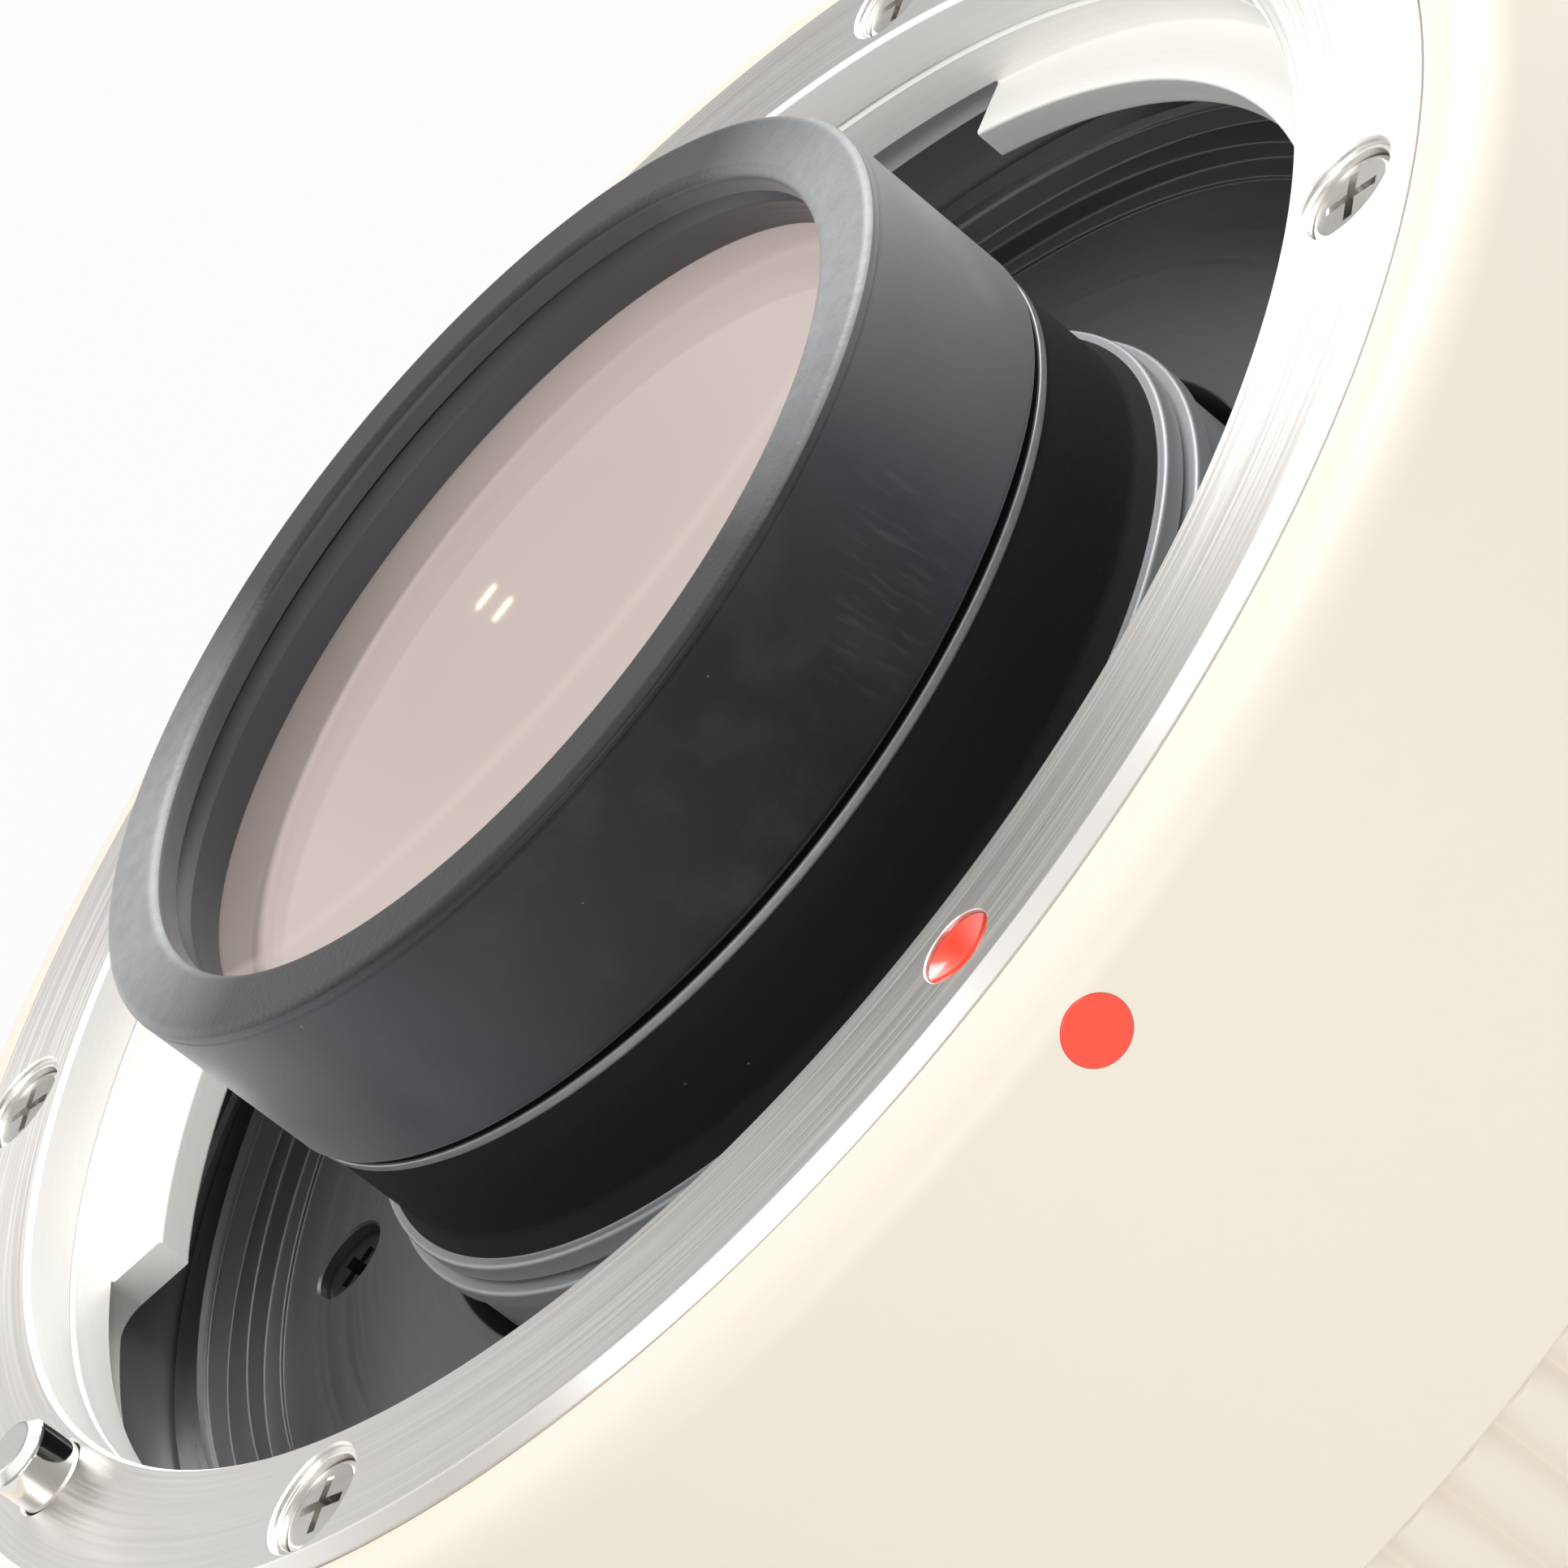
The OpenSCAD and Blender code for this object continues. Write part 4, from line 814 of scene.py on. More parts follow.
class CONVERTER_OT_mount(bpy.types.Operator):
    """Add the front mount ring, its screws and its red mark"""

    bl_idname = "converter.mount"
    bl_label = "Add front mount"
    bl_options = {"REGISTER", "UNDO"}

    def execute(self, context):
        s = sizes(context)
        self.ring(s)
        self.screws(s)
        reach = np.linspace(1.12, 0.0, 16)
        dish = np.column_stack((reach, s.front - 0.44 + 0.30 * (reach / 1.12) ** 2))
        outline = np.concatenate((np.array(((0.0, s.front - 0.6), (1.12, s.front - 0.6))), dish))
        mark = moved(lathe(outline, 96), s.mark_circle, INDEX_ANGLE)
        add_piece("index_mark", mark, ["red_lacquer"], ["ring_index_mark"])
        return {"FINISHED"}

    def ring(self, s):
        """Turned ring with three claws, screw seats, the lock hole and the seat of the mark."""
        claw_top = s.front - s.claw_depth
        groove = s.front - 1.7
        outline = rounded([(s.claw, s.ring_back, 0.1), (s.ring, s.ring_back, 0.1),
                           (s.ring, s.front - 0.4, 0.08), (s.ring - 0.4, s.front, 0.08),
                           (s.throat + 0.15, s.front, 0.05),
                           (s.throat, s.front - 0.15, 0.05), (s.throat, groove, 0.02),
                           (s.throat + 0.12, groove - 0.12, 0.02), (s.throat, groove - 0.24, 0.02),
                           (s.throat, claw_top, 0.08), (s.claw, claw_top, 0.12)])
        mesh = to_mesh("mount_ring", lathe(outline, 720))
        mesh = carve(mesh, [self.gap(s, end) for end in CLAW_ENDS])
        seat = s.front - 1.35
        hole = rounded([(0.0, s.ring_back - 0.5, 0.0), (0.9, s.ring_back - 0.5, 0.0), (0.9, seat, 0.0),
                        (1.55, seat, 0.0), (1.55, s.front - 0.2, 0.05), (1.75, s.front - 0.2, 0.03),
                        (1.75, s.front - 0.06, 0.0), (1.95, s.front + 0.14, 0.0),
                        (0.0, s.front + 0.14, 0.0)], 3)
        cuts = [moved(lathe(hole, 96), s.screw_circle, angle) for angle in SCREW_ANGLES]
        pin_hole = np.array(((0.0, s.ring_back - 0.5), (1.25, s.ring_back - 0.5), (1.25, s.front - 0.08),
                             (1.45, s.front + 0.12), (0.0, s.front + 0.12)))
        cuts.append(moved(lathe(pin_hole, 96), s.lock_circle, LOCK_ANGLE))
        mark_seat = np.array(((0.0, s.front - 0.6), (1.14, s.front - 0.6), (1.14, s.front - 0.03),
                              (1.3, s.front + 0.13), (0.0, s.front + 0.13)))
        cuts.append(moved(lathe(mark_seat, 96), s.mark_circle, INDEX_ANGLE))
        mesh = carve(mesh, cuts)
        radius, height, normal = face_places(mesh)
        # The throat walls and the faces below the claws' top take the lighter copy of the steel, which is
        # painted light.
        wall = (np.abs(normal[:, 2]) < 0.8) & (radius < s.throat + 0.3)
        paint_faces(mesh, np.where(wall | (height < claw_top + 0.2), 1, 0))
        add_piece("mount_ring", mesh, ["mount_steel", "throat_steel"], ["front_mount_ring"])

    def gap(self, s, start):
        """Space between two claws: a sector with round outer corners."""
        corner = 0.9
        end = start + TURN / 3.0 - CLAW_SPAN
        turn = math.asin(corner / (s.relief - corner))
        inner = np.linspace(end, start, 24)
        outer = np.linspace(start + turn, end - turn, 48)
        quarter = np.linspace(-0.5, 0.0, 9)[:-1] * math.pi
        first = self.knuckle(s.relief - corner, corner, start + turn, quarter)
        last = self.knuckle(s.relief - corner, corner, end - turn, -quarter[::-1])
        plan = np.concatenate((23.0 * np.column_stack((np.cos(inner), np.sin(inner))), first,
                               s.relief * np.column_stack((np.cos(outer), np.sin(outer))), last))
        return prism(plan, plan, s.ring_back - 0.5, s.front - s.claw_depth + 0.1)

    def knuckle(self, reach, radius, angle, turns):
        """Arc of a rounded corner whose centre is at a reach and an angle."""
        centre = reach * np.array((math.cos(angle), math.sin(angle)))
        return centre + radius * np.column_stack((np.cos(angle + turns), np.sin(angle + turns)))

    def screws(self, s):
        """Four cross-head screws."""
        top = s.front - 0.3
        outline = rounded([(0.0, top - 8.5, 0.0), (0.8, top - 8.5, 0.1), (0.8, top - 1.0, 0.0),
                           (1.5, top - 1.0, 0.05), (1.5, top - 0.16, 0.06), (1.32, top - 0.03, 0.08),
                           (0.0, top, 0.0)], 5)
        mesh = to_mesh("mount_screws", lathe(outline, 96))
        arm = 0.98
        width = 0.17
        plan = np.array(((arm, -width), (arm, width), (width, width), (width, arm),
                         (-width, arm), (-width, width), (-arm, width), (-arm, -width),
                         (-width, -width), (-width, -arm), (width, -arm), (width, -width)))
        mesh = carve(mesh, [prism(plan * 0.7, plan, top - 0.6, top + 0.1)])
        mesh = repeated(mesh, s.screw_circle, SCREW_ANGLES)
        add_piece("mount_screws", mesh, ["screw_steel"], ["front_mount_screws"], sharp=25.0)


def repeated(mesh, radius, angles):
    """Copies of a mesh at a radius and several angles, as one mesh."""
    work = bmesh.new()
    for angle in angles:
        copy = mesh.copy()
        copy.transform(Matrix.Rotation(angle, 4, "Z") @ Matrix.Translation((radius * MM, 0.0, 0.0)))
        work.from_mesh(copy)
        bpy.data.meshes.remove(copy)
    result = bpy.data.meshes.new(mesh.name)
    work.to_mesh(result)
    work.free()
    bpy.data.meshes.remove(mesh)
    return result


class CONVERTER_OT_well(bpy.types.Operator):
    """Add the structural barrel with the stepped well"""

    bl_idname = "converter.well"
    bl_label = "Add well"
    bl_options = {"REGISTER", "UNDO"}

    def execute(self, context):
        s = sizes(context)
        step_1 = s.floor + s.step_height
        step_2 = step_1 + s.step_height
        outline = rounded([(17.55, s.floor, 0.08), (17.55, 15.6, 0.05), (26.4, 15.6, 0.1), (26.4, 2.2, 0.05),
                           (31.5, 2.2, 0.05), (31.5, s.ring_back, 0.05), (s.relief, s.ring_back, 0.05),
                           (s.relief, step_2, 0.05), (s.well_step, step_2, 0.1), (s.well_step, step_1, 0.08),
                           (s.well, step_1, 0.1), (s.well, s.floor + 0.14, 0.1),
                           (s.well - 0.75, s.floor + 0.14, 0.06), (s.well - 0.75, s.floor, 0.04)])
        mesh = to_mesh("well", lathe(outline, 480))
        cuts = [moved(box_solid((26.9, -4.0, 6.5), (32.0, 4.0, s.ring_back + 0.5)), 0.0, LOCK_ANGLE)]
        hole = np.array(((0.0, 15.0), (0.75, 15.0), (0.75, s.floor - 1.4), (1.4, s.floor - 1.4),
                         (1.4, s.floor - 0.08), (1.6, s.floor + 0.12), (0.0, s.floor + 0.12)))
        cuts += [moved(lathe(hole, 64), FLOOR_SCREW_CIRCLE, math.radians(152.0 + 90.0 * k)) for k in range(4)]
        lock = np.array(((0.0, 2.0), (1.4, 2.0), (1.4, 4.4), (0.0, 4.4)))
        cuts.append(moved(lathe(lock, 64), s.lock_circle, LOCK_ANGLE))
        mesh = carve(mesh, cuts)
        radius, height, _ = face_places(mesh)
        # The upper step and the relief wall take the lighter copy of the well colour, which is painted light.
        step = (radius > s.well_step - 0.05) & (radius < s.relief + 0.1) & (height > step_1)
        paint_faces(mesh, np.where(step, 1, 0))
        add_piece("well", mesh, ["well_black", "step_black"], ["main_barrel"])
        return {"FINISHED"}


class CONVERTER_OT_barrel(bpy.types.Operator):
    """Add the lens barrel with its band, lip and base rings, and the retaining ring in its front"""

    bl_idname = "converter.barrel"
    bl_label = "Add lens barrel"
    bl_options = {"REGISTER", "UNDO"}

    def execute(self, context):
        s = sizes(context)
        outline = rounded([(12.5, 13.2, 0.0), (24.2, 13.2, 0.1), (24.2, 15.6, 0.1), (17.05, 15.6, 0.0),
                           (17.05, 20.3, 0.0), (17.25, 20.3, 0.06), (17.25, 21.0, 0.12), (16.6, 21.0, 0.0),
                           (16.6, 21.2, 0.0), (16.9, 21.2, 0.06), (16.9, 21.9, 0.12), (16.6, 21.9, 0.0),
                           (s.band, 22.6, 0.6), (s.band, s.lip_top - 0.35, 0.05),
                           (s.band + 0.1, s.lip_top - 0.25, 0.03), (s.band + 0.1, s.lip_top, 0.05),
                           (15.75, s.lip_top, 0.0), (15.75, BARREL_TOP, 0.05), (15.0, BARREL_TOP, 0.05),
                           (15.0, 24.09, 0.0), (11.9, 24.09, 0.0), (11.9, 20.3, 0.0), (12.5, 20.3, 0.0)], 5)
        mesh = to_mesh("barrel_tube", lathe(outline, 480))
        mesh = carve(mesh, [box_solid((-25.0, 21.9, 13.0), (25.0, 26.0, 15.7))])
        radius, height, _ = face_places(mesh)
        index = np.where((radius > 15.85) & (height > 21.95), 0, 1)
        index = np.where((radius > 16.3) & (height > 17.0) & (height < 21.95), 2, index)
        index = np.where((radius > s.band + 0.01) & (height > s.lip_top - 0.3), 3, index)
        paint_faces(mesh, index)
        add_piece("barrel_tube", mesh, ["black_barrel", "black_anodised", "barrel_rings", "lip_edge"],
                  ["lens_barrel"])
        self.retaining_ring(s)
        return {"FINISHED"}

    def retaining_ring(self, s):
        """Ring with a bevelled bore and two slots, which rests on the edge of the glass."""
        clear = 14.4
        low = s.glass_top - s.glass_curve + math.sqrt(s.glass_curve ** 2 - clear ** 2) + 0.02
        outline = rounded([(clear, low, 0.03), (s.glass, low, 0.03), (s.glass, BARREL_TOP, 0.04),
                           (s.glass - 0.2, BARREL_TOP, 0.05), (clear, BARREL_TOP - 0.55, 0.05)], 4)
        mesh = to_mesh("retaining_ring", lathe(outline, 480))
        slot = box_solid((clear - 0.2, -0.6, BARREL_TOP - 0.5), (s.glass + 0.2, 0.6, BARREL_TOP + 0.2))
        slots = [moved(slot, 0.0, angle) for angle in (0.0, math.pi)]
        add_piece("retaining_ring", carve(mesh, slots), ["satin_ring"], ["front_retaining_ring"])


class CONVERTER_OT_sleeve(bpy.types.Operator):
    """Add the rubber sleeve with its flat front rim"""

    bl_idname = "converter.sleeve"
    bl_label = "Add rubber sleeve"
    bl_options = {"REGISTER", "UNDO"}

    def execute(self, context):
        s = sizes(context)
        inner = 15.8
        line = s.rim_top - 0.45
        outline = rounded([(inner, s.sleeve_foot, 0.05), (s.sleeve, s.sleeve_foot, 0.25),
                           (s.sleeve, line - 0.08, 0.04), (s.sleeve - 0.05, line, 0.03),
                           (s.sleeve, line + 0.06, 0.02), (s.sleeve, s.rim_top, s.rim_edge * 0.8),
                           (s.rim_inner, s.rim_top, s.rim_edge), (s.rim_inner, s.rim_top - 0.9, 0.05),
                           (inner, s.rim_top - 0.9, 0.0)], 10)
        points, faces = lathe(outline, 480)
        angle = np.arctan2(points[:, 1], points[:, 0])
        low = np.clip((28.2 - points[:, 2]) / 1.6, 0.0, 1.0)
        wave = 0.10 * np.cos(angle + math.radians(75.0)) + 0.02 * np.sin(7.0 * angle + 2.0)
        points[:, 2] += low * np.maximum(wave, -0.12)
        mesh = to_mesh("sleeve_skin", (points, faces))
        _, height, normal = face_places(mesh)
        paint_faces(mesh, np.where((normal[:, 2] > 0.5) & (height > line + 0.1), 1, 0))
        add_piece("sleeve_skin", mesh, ["rubber", "rubber_rim"], ["rubber_sleeve"])
        return {"FINISHED"}


class CONVERTER_OT_glass(bpy.types.Operator):
    """Add the front element"""

    bl_idname = "converter.glass"
    bl_label = "Add glass"
    bl_options = {"REGISTER", "UNDO"}

    def execute(self, context):
        s = sizes(context)
        back_curve = 30.0
        back_top = s.glass_top - 1.8
        seat = s.glass - 1.0
        back = np.linspace(0.0, seat, 60)
        front = np.linspace(s.glass, 0.0, 80)
        rear = np.column_stack((back, back_top - back_curve + np.sqrt(back_curve ** 2 - back ** 2)))
        crown = s.glass_top - s.glass_curve + np.sqrt(s.glass_curve ** 2 - front ** 2)
        face = np.column_stack((front, crown))
        rim = np.array(((s.glass, rear[-1, 1]),))
        mesh = to_mesh("front_element", lathe(np.concatenate((rear, rim, face)), 360))
        add_piece("front_element", mesh, ["coated_glass"], ["lens_1"])
        return {"FINISHED"}


class CONVERTER_OT_lock(bpy.types.Operator):
    """Add the lock pin, the release slider and their spring"""

    bl_idname = "converter.lock"
    bl_label = "Add lock"
    bl_options = {"REGISTER", "UNDO"}

    def execute(self, context):
        s = sizes(context)
        outline = rounded([(0.0, 16.5, 0.0), (1.2, 16.5, 0.05), (1.2, s.front + 1.3, 0.2),
                           (0.9, s.front + 1.6, 0.15), (0.0, s.front + 1.6, 0.0)], 6)
        pin = moved(lathe(outline, 64), s.lock_circle, LOCK_ANGLE)
        add_piece("lock_peg", pin, ["pin_steel"], ["lock_pin"], "release")
        self.slider(s)
        spring = moved(coil(1.2, 0.2, 6.5, 13.5, 7), 29.15, LOCK_ANGLE)
        piece = add_piece("lock_wire", spring, ["spring_steel"], ["lock_spring"])
        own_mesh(piece)
        return {"FINISHED"}

    def slider(self, s):
        """Curved pad R(y, z) with soft edges and five grooves across it, on a square stem."""
        low = 10.6
        high = 18.0
        half = 5.0
        across = np.linspace(-half, half, 61)[:, None]
        along = np.linspace(low, high, 149)[None, :]
        edge = np.minimum(half - np.abs(across), np.minimum(along - low, high - along))
        soft = 0.6 - np.sqrt(np.maximum(0.36 - np.clip(0.6 - edge, 0.0, 0.6) ** 2, 0.0))
        middle = (low + high) / 2.0
        groove = sum(np.sqrt(np.maximum(0.1225 - (along - middle - 1.05 * k) ** 2, 0.0))
                     for k in range(-2, 3))
        ends = np.clip((half - 0.7 - np.abs(across)) / 0.5, 0.0, 1.0)
        rise = s.body + 1.8 - soft - groove * ends
        outer = np.sqrt(rise ** 2 - across ** 2)
        inner = np.sqrt((s.body + 0.3) ** 2 - across ** 2) + np.zeros_like(along)
        flat = np.broadcast_to(across, outer.shape)
        tall = np.broadcast_to(along, outer.shape)
        pad = slab(np.stack((inner, flat, tall), axis=-1), np.stack((outer, flat, tall), axis=-1))
        stem = box_solid((31.0, -2.0, 13.7), (s.body + 0.5, 2.0, 16.3))
        solid = moved(joined([pad, stem]), 0.0, LOCK_ANGLE)
        add_piece("release_pad", solid, ["black_plastic"], ["release_slider"], "release")


class CONVERTER_OT_contacts(bpy.types.Operator):
    """Add the sprung contact pins and the springs under them"""

    bl_idname = "converter.contacts"
    bl_label = "Add contacts"
    bl_options = {"REGISTER", "UNDO"}

    def execute(self, context):
        s = sizes(context)
        tip = np.linspace(0.0, 0.5, 10) * math.pi
        dome = np.column_stack((0.5 * np.cos(tip), 24.1 + 0.5 * np.sin(tip)))
        pin_outline = np.concatenate((np.array(((0.0, 21.6), (0.45, 21.6), (0.5, 21.65))), dome))
        for number in range(1, CONTACT_COUNT + 1):
            angle = CONTACT_ANGLE + CONTACT_STEP * (number - (CONTACT_COUNT + 1) / 2.0)
            pin = moved(lathe(pin_outline, 40), s.pin_circle, angle)
            add_piece("pin_%d" % number, pin, ["gold"], ["contact_pin_%d" % number],
                      "contact_%d" % number)
            spring = moved(coil(0.31, 0.085, 19.6, 21.6, 6, 8, 20), s.pin_circle, angle)
            piece = add_piece("pin_spring_%d" % number, spring, ["spring_steel"],
                              ["contact_spring_%d" % number])
            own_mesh(piece)
        return {"FINISHED"}


class CONVERTER_OT_rear(bpy.types.Operator):
    """Add the rear mount ring and the light baffle"""

    bl_idname = "converter.rear"
    bl_label = "Add rear mount"
    bl_options = {"REGISTER", "UNDO"}

    def execute(self, context):
        s = sizes(context)
        self.ring(s)
        self.baffle()
        return {"FINISHED"}

    def ring(self, s):
        """Plate, collar and neck in one turning, with three lugs."""
        outline = rounded([(23.6, -6.1, 0.1), (24.5, -6.1, 0.1), (24.5, -3.1, 0.1), (26.95, -3.1, 0.2),
                           (26.95, 0.0, 0.05), (31.2, 0.0, 0.1), (31.2, 2.2, 0.1), (21.1, 2.2, 0.05),
                           (21.1, 0.6, 0.05), (23.6, 0.6, 0.05)])
        mesh = to_mesh("rear_ring", lathe(outline, 480))
        hole = np.array(((0.0, -0.13), (1.9, -0.13), (1.7, 0.07), (1.7, 1.2),
                         (0.9, 1.2), (0.9, 2.5), (0.0, 2.5)))
        cuts = [moved(lathe(hole, 96), 29.0, math.radians(45.0 + 90.0 * k)) for k in range(4)]
        lock = np.array(((0.0, -0.13), (1.6, -0.13), (1.4, 0.07), (1.4, 2.5), (0.0, 2.5)))
        cuts.append(moved(lathe(lock, 96), s.lock_circle, LOCK_ANGLE))
        mesh = carve(mesh, cuts)
        lug = rounded([(24.2, -6.1, 0.05), (26.8, -6.1, 0.15), (26.8, -4.75, 0.15), (24.2, -4.75, 0.05)], 4)
        short = math.radians(3.0)
        arcs = [arc_sweep(lug, end - CLAW_SPAN + short, end - short, 96) for end in CLAW_ENDS]
        lugs = to_mesh("lugs", joined(arcs))
        work = bmesh.new()
        work.from_mesh(mesh)
        work.from_mesh(lugs)
        work.to_mesh(mesh)
        work.free()
        bpy.data.meshes.remove(lugs)
        add_piece("rear_ring", mesh, ["mount_steel"], ["rear_mount_ring"])

    def baffle(self):
        """Dished disc with a rectangular window and room for the contact block."""
        outline = rounded([(8.0, -4.2, 0.0), (23.5, -4.2, 0.25), (23.5, 0.6, 0.05), (22.4, 0.6, 0.05),
                           (22.4, -2.6, 0.3), (8.0, -2.6, 0.0)])
        mesh = to_mesh("baffle", lathe(outline, 360))
        window = rounded([(-12.0, -8.5, 2.0), (12.0, -8.5, 2.0), (12.0, 8.5, 2.0), (-12.0, 8.5, 2.0)], 12)
        room = np.array(((18.4, -7.0), (26.0, -7.0), (26.0, 1.2), (18.4, 1.2)))
        half = math.radians(27.1)
        cuts = [prism(window * 1.04, window, -4.4, -2.4),
                arc_sweep(room, CONTACT_ANGLE - half, CONTACT_ANGLE + half, 48)]
        hole = np.array(((0.0, -4.4), (1.1, -4.4), (1.1, -3.3), (0.6, -3.3), (0.6, -2.4), (0.0, -2.4)))
        cuts += [moved(lathe(hole, 64), 22.1, math.radians(turn)) for turn in (-30.0, 210.0, 270.0)]
        add_piece("baffle", carve(mesh, cuts), ["black_plastic"], ["rear_baffle"])


class CONVERTER_OT_plain_nodes(bpy.types.Operator):
    """Give the solids that keep their own mesh a finish and smooth shading"""

    bl_idname = "converter.plain_nodes"
    bl_label = "Finish the other solids"
    bl_options = {"REGISTER", "UNDO"}

    def execute(self, context):
        slots = {entry["node"]: entry["material_slot"] for entry in frame["record"]["subparts"]}
        for name, piece in frame["nodes"].items():
            if piece.hide_render:
                continue
            piece.data.materials.clear()
            piece.data.materials.append(material(slots[name]))
            piece.data.shade_smooth()
            piece.data.set_sharp_from_angle(angle=math.radians(28.0))
        return {"FINISHED"}


class CONVERTER_OT_stage(bpy.types.Operator):
    """Set the camera, the lamps, the floor and the white surroundings"""

    bl_idname = "converter.stage"
    bl_label = "Set stage"
    bl_options = {"REGISTER", "UNDO"}

    def execute(self, context):
        settings = context.scene.converter_stage
        self.camera(context, settings)
        self.surroundings(context, settings)
        self.ground(context)
        glass = bpy.data.objects["front_element"]
        ring = bpy.data.objects["mount_ring"]
        self.spare(self.lamp("key", settings.key, 0.34, (0.36, 0.34, 0.40)), glass)
        self.spare(self.lamp("high", settings.high, 0.30, (0.367, -0.065, 0.552)), glass)
        self.spare(self.lamp("face", settings.face, 0.70, (-0.12, -0.67, 0.115), 0.12), glass, ring)
        self.keep(self.lamp("mount_near", settings.mount, 0.34, (-0.28, -0.333, 0.503)), ring)
        self.keep(self.lamp("mount_far", settings.mount, 0.34, (0.42, 0.10, 0.42)), ring)
        self.keep(self.lamp("shine", settings.shine, 0.30, (0.0, -0.10, 0.60)), glass, False)
        for k, rise in enumerate((0.2105, 0.2325)):
            glint = self.lamp("glint_%d" % (k + 1), settings.glint, 0.006, (-0.0055, 0.575, rise), 0.004)
            glint.data.color = (1.0, 0.78, 0.50)
            self.keep(glint, glass, False)
        context.scene.view_settings.view_transform = "Standard"
        return {"FINISHED"}

    def camera(self, context, settings):
        """Long lens from above the index side, rolled so that the axis points to the upper left."""
        data = bpy.data.cameras.new("camera")
        data.lens = settings.lens
        data.sensor_width = 36.0
        data.clip_start = 0.01
        camera = bpy.data.objects.new("camera", data)
        right = Vector((0.6184717, -0.3067313, -0.7234699))
        up = Vector((0.7858071, 0.2414138, 0.5694090))
        turn = Matrix((right, up, right.cross(up))).transposed()
        camera.matrix_world = Matrix.Translation(Vector((0.540, -195.468, 104.254)) * MM) @ turn.to_4x4()
        context.scene.collection.objects.link(camera)
        context.scene.camera = camera

    def surroundings(self, context, settings):
        """White to the eye; shaded by direction in reflections and through glass; even for diffuse light."""
        world = bpy.data.worlds.new("surroundings")
        world.use_nodes = True
        tree = world.node_tree
        path = add_node(tree, "ShaderNodeLightPath")
        way = add_node(tree, "ShaderNodeTexCoord").outputs["Generated"]
        x, y, z = add_node(tree, "ShaderNodeSeparateXYZ", {0: way}).outputs
        far = spread(tree, y, 0.0, 0.5)
        round_about = spread(tree, y, 0.0, 0.5, settings.front, settings.rear)
        aside = spread(tree, calc(tree, "ABSOLUTE", x), 0.06, 0.36, 0.0, settings.wings)
        behind = calc(tree, "ADD", round_about, calc(tree, "MULTIPLY", aside, far))
        above = calc(tree, "MULTIPLY", spread(tree, z, 0.55, 0.85), spread(tree, y, 0.35, -0.1))
        dome = add_node(tree, "ShaderNodeMix", {0: above, 2: behind, 3: settings.top}).outputs[0]
        pane = add_node(tree, "ShaderNodeVectorMath", {0: way, 1: (0.596, 0.710, 0.375)},
                        operation="DOT_PRODUCT")
        window = spread(tree, pane.outputs["Value"], 0.90, 0.985, 0.0, settings.flare)
        mirrored = calc(tree, "ADD", dome, window)
        seen = self.seen(tree, path)
        shown = add_node(tree, "ShaderNodeMix", {0: seen, 2: settings.fill, 3: mirrored}).outputs[0]
        strength = calc(tree, "MAXIMUM", shown, path.outputs["Is Camera Ray"])
        background = next(n for n in tree.nodes if n.type == "BACKGROUND")
        background.inputs["Color"].default_value = (1.0, 1.0, 1.0, 1.0)
        tree.links.new(strength, background.inputs["Strength"])
        context.scene.world = world

    def ground(self, context):
        """Pale floor that shows as white and keeps the shadow of the converter."""
        mesh = bpy.data.meshes.new("floor")
        edge = 1.5
        depth = -6.1 * MM
        corners = [(-edge, -edge, depth), (edge, -edge, depth), (edge, edge, depth), (-edge, edge, depth)]
        mesh.from_pydata(corners, [], [(0, 1, 2, 3)])
        floor = bpy.data.objects.new("floor", mesh)
        context.scene.collection.objects.link(floor)
        white = bpy.data.materials.new("white_floor")
        white.use_nodes = True
        tree = white.node_tree
        shader = next(n for n in tree.nodes if n.type == "BSDF_PRINCIPLED")
        shader.inputs["Base Color"].default_value = (0.52, 0.52, 0.52, 1.0)
        shader.inputs["Roughness"].default_value = 0.9
        glow = add_node(tree, "ShaderNodeEmission", {"Strength": 1.0})
        path = add_node(tree, "ShaderNodeLightPath")
        share = calc(tree, "MULTIPLY", self.seen(tree, path), 0.92)
        mixed = add_node(tree, "ShaderNodeMixShader", {0: share, 1: shader.outputs[0], 2: glow.outputs[0]})
        output = next(n for n in tree.nodes if n.type == "OUTPUT_MATERIAL")
        tree.links.new(mixed.outputs[0], output.inputs["Surface"])
        mesh.materials.append(white)

    def seen(self, tree, path):
        """One where the ray comes from the camera, a reflection or glass."""
        direct = calc(tree, "MAXIMUM", path.outputs["Is Camera Ray"], path.outputs["Is Glossy Ray"])
        return calc(tree, "MAXIMUM", direct, path.outputs["Is Transmission Ray"])

    def lamp(self, name, power, size, place, tall=0.0):
        """Soft light aimed at the middle of the converter: square, or as tall as is said."""
        data = bpy.data.lights.new(name, "AREA")
        data.shape = "RECTANGLE"
        data.energy = power
        data.size = size
        data.size_y = tall or size
        lamp = bpy.data.objects.new(name, data)
        lamp.location = place
        aim = Vector((0.0, 0.0, 0.02)) - lamp.location
        lamp.rotation_euler = aim.to_track_quat("-Z", "Y").to_euler()
        bpy.context.scene.collection.objects.link(lamp)
        return lamp

    def spare(self, lamp, *pieces):
        """Keep these pieces out of a lamp's light."""
        group = bpy.data.collections.new(lamp.name + "_spares")
        for piece in pieces:
            group.objects.link(piece)
        for entry in group.collection_objects:
            entry.light_linking.link_state = "EXCLUDE"
        lamp.light_linking.receiver_collection = group

    def keep(self, lamp, piece, shaded=True):
        """Keep a lamp's light for one piece, with or without the shadows of the others."""
        group = bpy.data.collections.new(lamp.name + "_keeps")
        group.objects.link(piece)
        lamp.light_linking.receiver_collection = group
        if not shaded:
            lamp.light_linking.blocker_collection = group


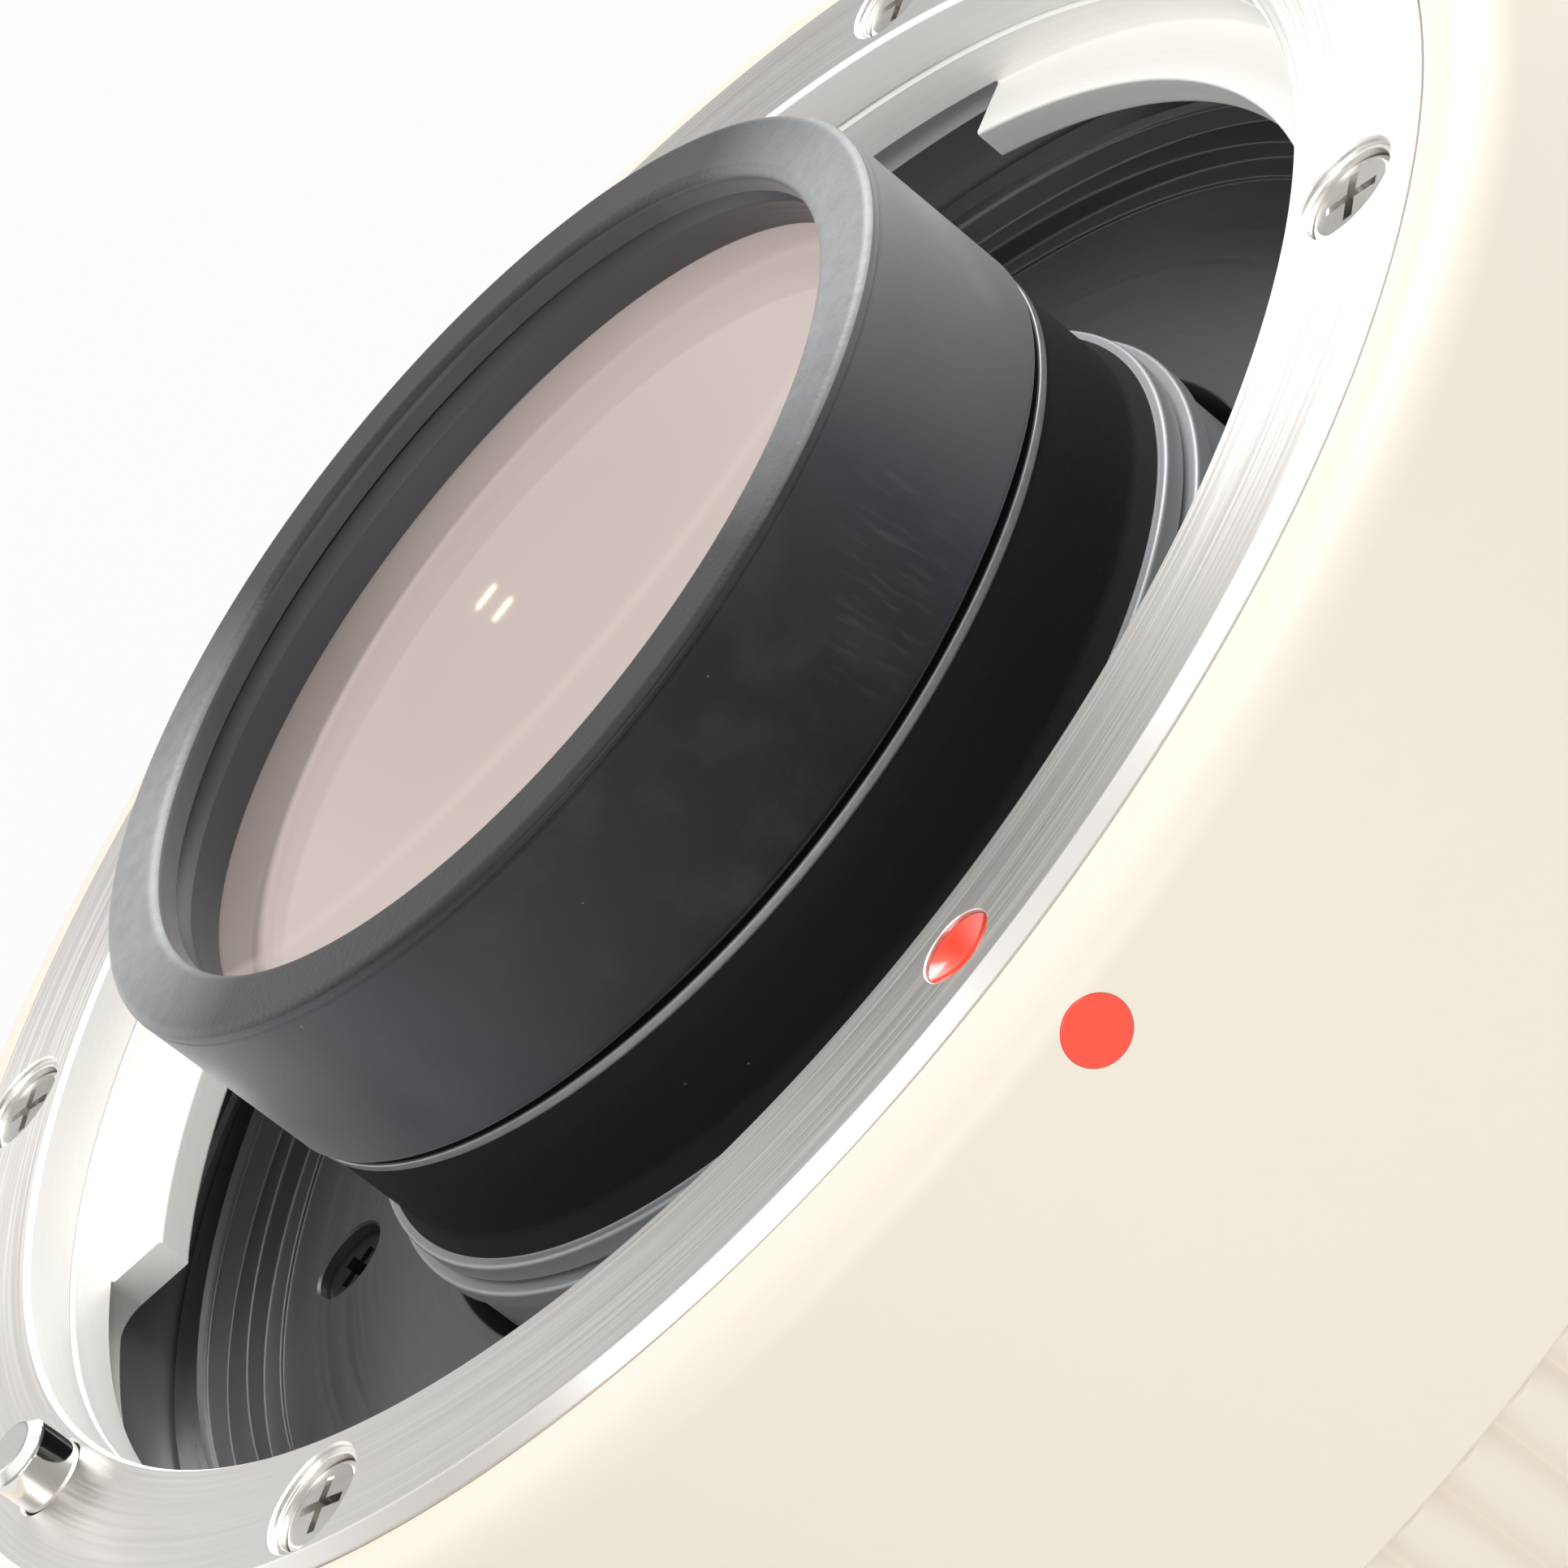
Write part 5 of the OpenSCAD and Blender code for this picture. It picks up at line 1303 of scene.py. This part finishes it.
class CONVERTER_PT_panel(bpy.types.Panel):
    """Sizes, colours and steps of the converter"""

    bl_idname = "CONVERTER_PT_panel"
    bl_label = "Teleconverter"
    bl_space_type = "VIEW_3D"
    bl_region_type = "UI"
    bl_category = "Converter"

    def draw(self, context):
        layout = self.layout
        scene = context.scene
        for group in (scene.converter_sizes, scene.converter_colours, scene.converter_stage):
            column = layout.column(align=True)
            for name in type(group).__annotations__:
                column.prop(group, name)
        for operator in STEPS:
            layout.operator(operator.bl_idname)


GROUPS = (ConverterSizes, ConverterColours, ConverterStage)
STEPS = (CONVERTER_OT_finishes, CONVERTER_OT_body, CONVERTER_OT_mount, CONVERTER_OT_well, CONVERTER_OT_barrel,
         CONVERTER_OT_sleeve, CONVERTER_OT_glass, CONVERTER_OT_lock, CONVERTER_OT_contacts, CONVERTER_OT_rear,
         CONVERTER_OT_plain_nodes, CONVERTER_OT_stage)


def register():
    """Register the classes and hang the property groups on the scene."""
    for item in (*GROUPS, *STEPS, CONVERTER_PT_panel):
        bpy.utils.register_class(item)
    bpy.types.Scene.converter_sizes = bpy.props.PointerProperty(type=ConverterSizes)
    bpy.types.Scene.converter_colours = bpy.props.PointerProperty(type=ConverterColours)
    bpy.types.Scene.converter_stage = bpy.props.PointerProperty(type=ConverterStage)


def unregister():
    """Take everything that register added away again."""
    del bpy.types.Scene.converter_stage
    del bpy.types.Scene.converter_colours
    del bpy.types.Scene.converter_sizes
    for item in reversed((*GROUPS, *STEPS, CONVERTER_PT_panel)):
        bpy.utils.unregister_class(item)


def main():
    """Build every piece and the stage."""
    register()
    bpy.ops.converter.finishes()
    bpy.ops.converter.body()
    bpy.ops.converter.mount()
    bpy.ops.converter.well()
    bpy.ops.converter.barrel()
    bpy.ops.converter.sleeve()
    bpy.ops.converter.glass()
    bpy.ops.converter.lock()
    bpy.ops.converter.contacts()
    bpy.ops.converter.rear()
    bpy.ops.converter.plain_nodes()
    bpy.ops.converter.stage()


if __name__ == "__main__":
    main()
